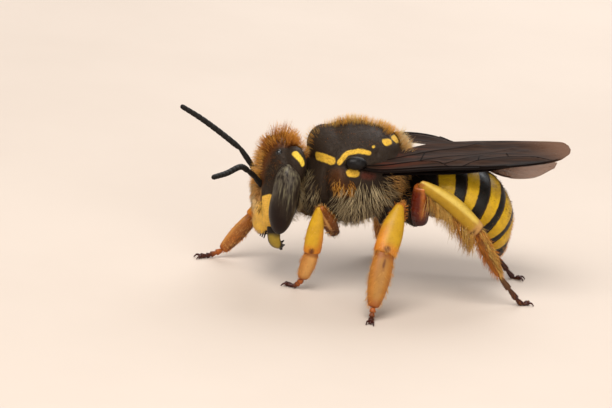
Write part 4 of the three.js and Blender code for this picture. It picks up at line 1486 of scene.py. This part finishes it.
def soft_light(name, place, size, power, colour=(1, 1, 1)):
    bpy.ops.object.light_add(type="AREA", location=in_frame(place))
    light = bpy.context.object
    light.name = name
    light.data.shape = "DISK"
    light.data.size = size * MM
    light.data.energy = power
    light.data.color = colour
    aim = in_frame((0, 0, 4)) - light.location
    light.rotation_euler = aim.to_track_quat("-Z", "Y").to_euler()


soft_light("key_light", (-60, -90, 190), 160, 0.5, (1.0, 0.97, 0.93))
soft_light("rim_light", (70, 120, 120), 140, 0.22, (0.96, 0.98, 1.0))
soft_light("fill_light", (60, -170, 60), 150, 0.12, (1.0, 0.96, 0.92))
world = bpy.data.worlds.new("studio")
world.use_nodes = True
world.node_tree.nodes["Background"].inputs["Color"].default_value = opaque("dcd6ce")
world.node_tree.nodes["Background"].inputs["Strength"].default_value = 0.45
bpy.context.scene.world = world
bpy.context.scene.view_settings.view_transform = "Standard"

body_horn = horn("dark pitted cuticle", pits=13.0, pit_width=0.5, depth=0.025, smooth=0.5, rough=0.65,
                 uneven=0.3, mark="marking", softness=0.045)
tail_horn = horn("banded tail plate", pits=15.0, pit_width=0.42, depth=0.012, smooth=0.3, rough=0.46,
                 uneven=0.4, mark=linear("d6aa20"), wobble=0.14, softness=0.03, coat=0.04, shine=0.2)
leg_horn = horn("waxy yellow leg plate", pits=11.0, pit_width=0.3, depth=0.006, smooth=0.36, rough=0.52,
                uneven=0.25, mark=linear("5e2a10"), wobble=0.16, softness=0.09, scale=2.0, coat=0.04,
                shine=0.26)
jet_horn = horn("jet lens", pits=16.0, pit_width=0.35, depth=0.004, smooth=0.12, rough=0.2, coat=0.3,
                shine=0.5)
cap_horn = horn("dark cap", pits=16.0, pit_width=0.35, depth=0.008, smooth=0.34, rough=0.5, coat=0.04,
                shine=0.18)
vein_horn = horn("dark vein", pits=30.0, pit_width=0.5, depth=0.002, smooth=0.6, rough=0.75, uneven=0.2,
                 shine=0.03)
feeler_horn = horn("matt feeler plate", pits=30.0, pit_width=0.5, depth=0.006, smooth=0.55, rough=0.7)
claw_horn = horn("dark red claw", pits=8.0, pit_width=0.3, depth=0.003, smooth=0.22, rough=0.36, coat=0.2)


def eye_finish():
    made, tree, base = new_finish("compound eye", Coat_Weight=0.05, Coat_Roughness=0.2,
                                  Specular_IOR_Level=0.14)
    streaks = noise(tree, 1.0, in_mm(tree, (8600, 5200, 1000)), detail=2.5, rough=0.6)
    zone = placed(tree, EDGED, Distance=kept(tree, "zone"), Wobble=0.7, Softness=0.55)["Mask"]
    ground = placed(tree, TONED, Colour=opaque("1e0f0a"), Amount=0.5, Scale=1.1)["Colour"]
    ground = blend(tree, calc(tree, "MULTIPLY", zone, 0.7), ground, opaque("352c21"))
    # Painted highlight: a soft pale grey laid on the upper front of the eye.
    painted_highlight = placed(tree, EDGED, Distance=kept(tree, "painted_highlight"), Wobble=0.5, Softness=0.9)["Mask"]
    ground = blend(tree, calc(tree, "MULTIPLY", painted_highlight, 0.5), ground, opaque("625a4e"))
    pale = calc(tree, "MULTIPLY", ease(tree, streaks, 0.5, 0.66), zone)
    colour = blend(tree, calc(tree, "MULTIPLY", pale, 0.42), ground, opaque("807a5e"))
    dark = calc(tree, "MULTIPLY", ease(tree, streaks, 0.38, 0.52, 1.0, 0.0), zone)
    colour = blend(tree, calc(tree, "MULTIPLY", dark, 0.8), colour, opaque("17100c"))
    tree.links.new(colour, base.inputs["Base Color"])
    tree.links.new(placed(tree, GLOSSED, Smooth=0.28, Rough=0.42, Scale=3.0)["Roughness"],
                   base.inputs["Roughness"])
    facets = add(tree, "ShaderNodeTexVoronoi", {"Vector": in_mm(tree), "Scale": 26.0, "Randomness": 0.15})
    bump(tree, base, facets.outputs["Distance"], 0.006, 0.6)
    return made


def film_finish():
    made, tree, base = new_finish("smoky wing film", Roughness=0.6, Specular_IOR_Level=0.04)
    run, chord = kept(tree, "run"), kept(tree, "chord")
    smoke = noise(tree, 1.0, in_mm(tree, (420, 5200, 1400)), detail=4.0)
    brown = blend(tree, ease(tree, smoke, 0.35, 0.68), opaque("241710"), opaque("3a261a"))
    flush = calc(tree, "MULTIPLY", ease(tree, run, 0.05, 0.42, 0.55, 0.0), ease(tree, smoke, 0.45, 0.6))
    brown = blend(tree, flush, brown, opaque("55211b"))
    edge = ease(tree, chord, 0.03, 0.2, 1.0, 0.0)
    dark = calc(tree, "MULTIPLY", edge, ease(tree, run, 0.6, 0.85, 1.0, 0.2))
    brown = blend(tree, dark, brown, opaque("17110f"))
    thin = calc(tree, "MULTIPLY", kept(tree, "thin"), ease(tree, run, 0.55, 0.8))
    brown = blend(tree, ease(tree, run, 0.62, 0.84, 0.0, 0.85), brown, opaque("6b4730"))
    # Painted light: the far wings' film is painted paler, as light showing through, beside letting more light
    # through.
    brown = blend(tree, calc(tree, "MULTIPLY", thin, 4.5), brown, opaque("84522a"))
    tree.links.new(brown, base.inputs["Base Color"])
    clear = calc(tree, "SUBTRACT", ease(tree, run, 0.6, 0.85, 0.98, 0.78),
                 ease(tree, smoke, 0.4, 0.7, 0.0, 0.05))
    clear = calc(tree, "SUBTRACT", calc(tree, "MAXIMUM", clear, calc(tree, "MULTIPLY", dark, 0.97)), thin)
    tree.links.new(clear, base.inputs["Alpha"])
    ripple = noise(tree, 1.0, in_mm(tree, (900, 5200, 1000)), detail=3.0)
    bump(tree, base, ripple, 0.03, 0.7)
    return made


def simple(obj, name, shade, slot, *nodes, finish, mark=-1):
    """Names a horny piece, keeps its shade and markings on it, and sets it in place."""
    obj.name = name
    tint(obj, "shade", shade)
    measure(obj, "mark", mark)
    return place_piece(obj, finish, slot, *nodes)


skin = trunk_skin()
places = corners(skin)
measure(skin, "mark", marked(places))
tint(skin, "shade", trunk_shade(places))
tint(skin, "marking", trunk_marking(places))
coxae = [f"{leg}_coxa" for leg in LEG_JOINTS]
place_piece(skin, body_horn, "cuticle_black", "thorax", "head", "neck", "scutellum", *coxae)

hair_finish = coat_finish()
trunk_coat(Ground(skin), hair_finish)

film_coat, eye_coat = film_finish(), eye_finish()
# The far wings are also painted paler by this share, as painted light showing through them.
FAR_WING_CLEAR_AND_LIT = dict(left=0.0, right=0.17)      # how much more light the far wings let through
for name, side in SIDES.items():
    eye = eye_ball(side)
    eye.name = f"eye_{name}_lens"
    place_piece(eye, eye_coat, "eye", f"eye_{name}")
    blade = jaw(side)
    simple(blade, f"jaw_{name}", jaw_shade(blade, side), "cuticle_yellow", f"mandible_{name}",
           finish=leg_horn)
    scape, flagellum = ANTENNAE[name]
    simple(jointed_feeler(scape, 0.15, 2, 0.1), f"feeler_{name}_scape", BLACK, "cuticle_black",
           f"scape_{name}", finish=feeler_horn)
    simple(jointed_feeler(flagellum, 0.155, 12), f"feeler_{name}_whip", BLACK, "cuticle_black",
           f"flagellum_{name}", finish=feeler_horn)
    simple(lobe("tegula", (-2.85, 2.5 * side, 7.22), (0.58, 0.36, 0.36)), f"tegula_{name}_cap", CAP_BLACK,
           "cuticle_black", f"tegula_{name}", finish=cap_horn)
    for wing, edges, veins in (("forewing", FOREWINGS[name], FOREWING_VEINS),
                               ("hindwing", HINDWINGS[name], HINDWING_VEINS)):
        film = wing_film(edges, veins)
        film.name = f"{wing}_{name}_film"
        measure(film, "thin", FAR_WING_CLEAR_AND_LIT[name])
        place_piece(film, film_coat, "wing", f"{wing}_{name}")
        simple(wing_veins(edges, veins), f"{wing}_{name}_veins", VEIN_BLACK, "wing", finish=vein_horn)
simple(face_teeth(), "face_teeth", TOOTH_BLACK, "cuticle_black", finish=claw_horn)
simple(ocelli(), "ocelli_lenses", LENS_BLACK, "eye", finish=jet_horn)

form = whole_abdomen()
rings = []
for number in range(1, RING_COUNT + 1):
    ring, share, angle = tail_ring(number, form)
    rings.append((ring, share, angle))
    simple(ring, f"tail_ring_{number}", ring_shade(number, share, angle), "cuticle_banded",
           f"abdomen_ring_{number}", finish=tail_horn, mark=band_depth(number, share, angle))

tail_coat(rings, hair_finish)

for seed, (leg, joints) in enumerate(LEG_JOINTS.items(), 60):
    pair, side_name = leg.split("_")
    shells = {}
    for order, length in enumerate(LEG_LENGTHS[1:], 1):
        start, end = joints[order], joints[order + 1]
        shell = shells[length] = leg_length(pair, length, start, end)
        facings = leg_facing(corners(shell), start, end, SIDES[side_name])
        finish, slot = leg_horn, "cuticle_yellow"
        if length == "femur":
            finish, slot = claw_horn, "cuticle_mahogany"
        simple(shell, f"{leg}_{length}_shell", leg_shades(pair, length, *facings), slot, f"{leg}_{length}",
               finish=finish, mark=leg_slit(pair, length, *facings[:3]))
    leg_coat(leg, shells, joints, hair_finish, seed)
    simple(claws(joints[4], joints[5]), f"{leg}_claws", DARK_RED, "cuticle_mahogany", finish=claw_horn)
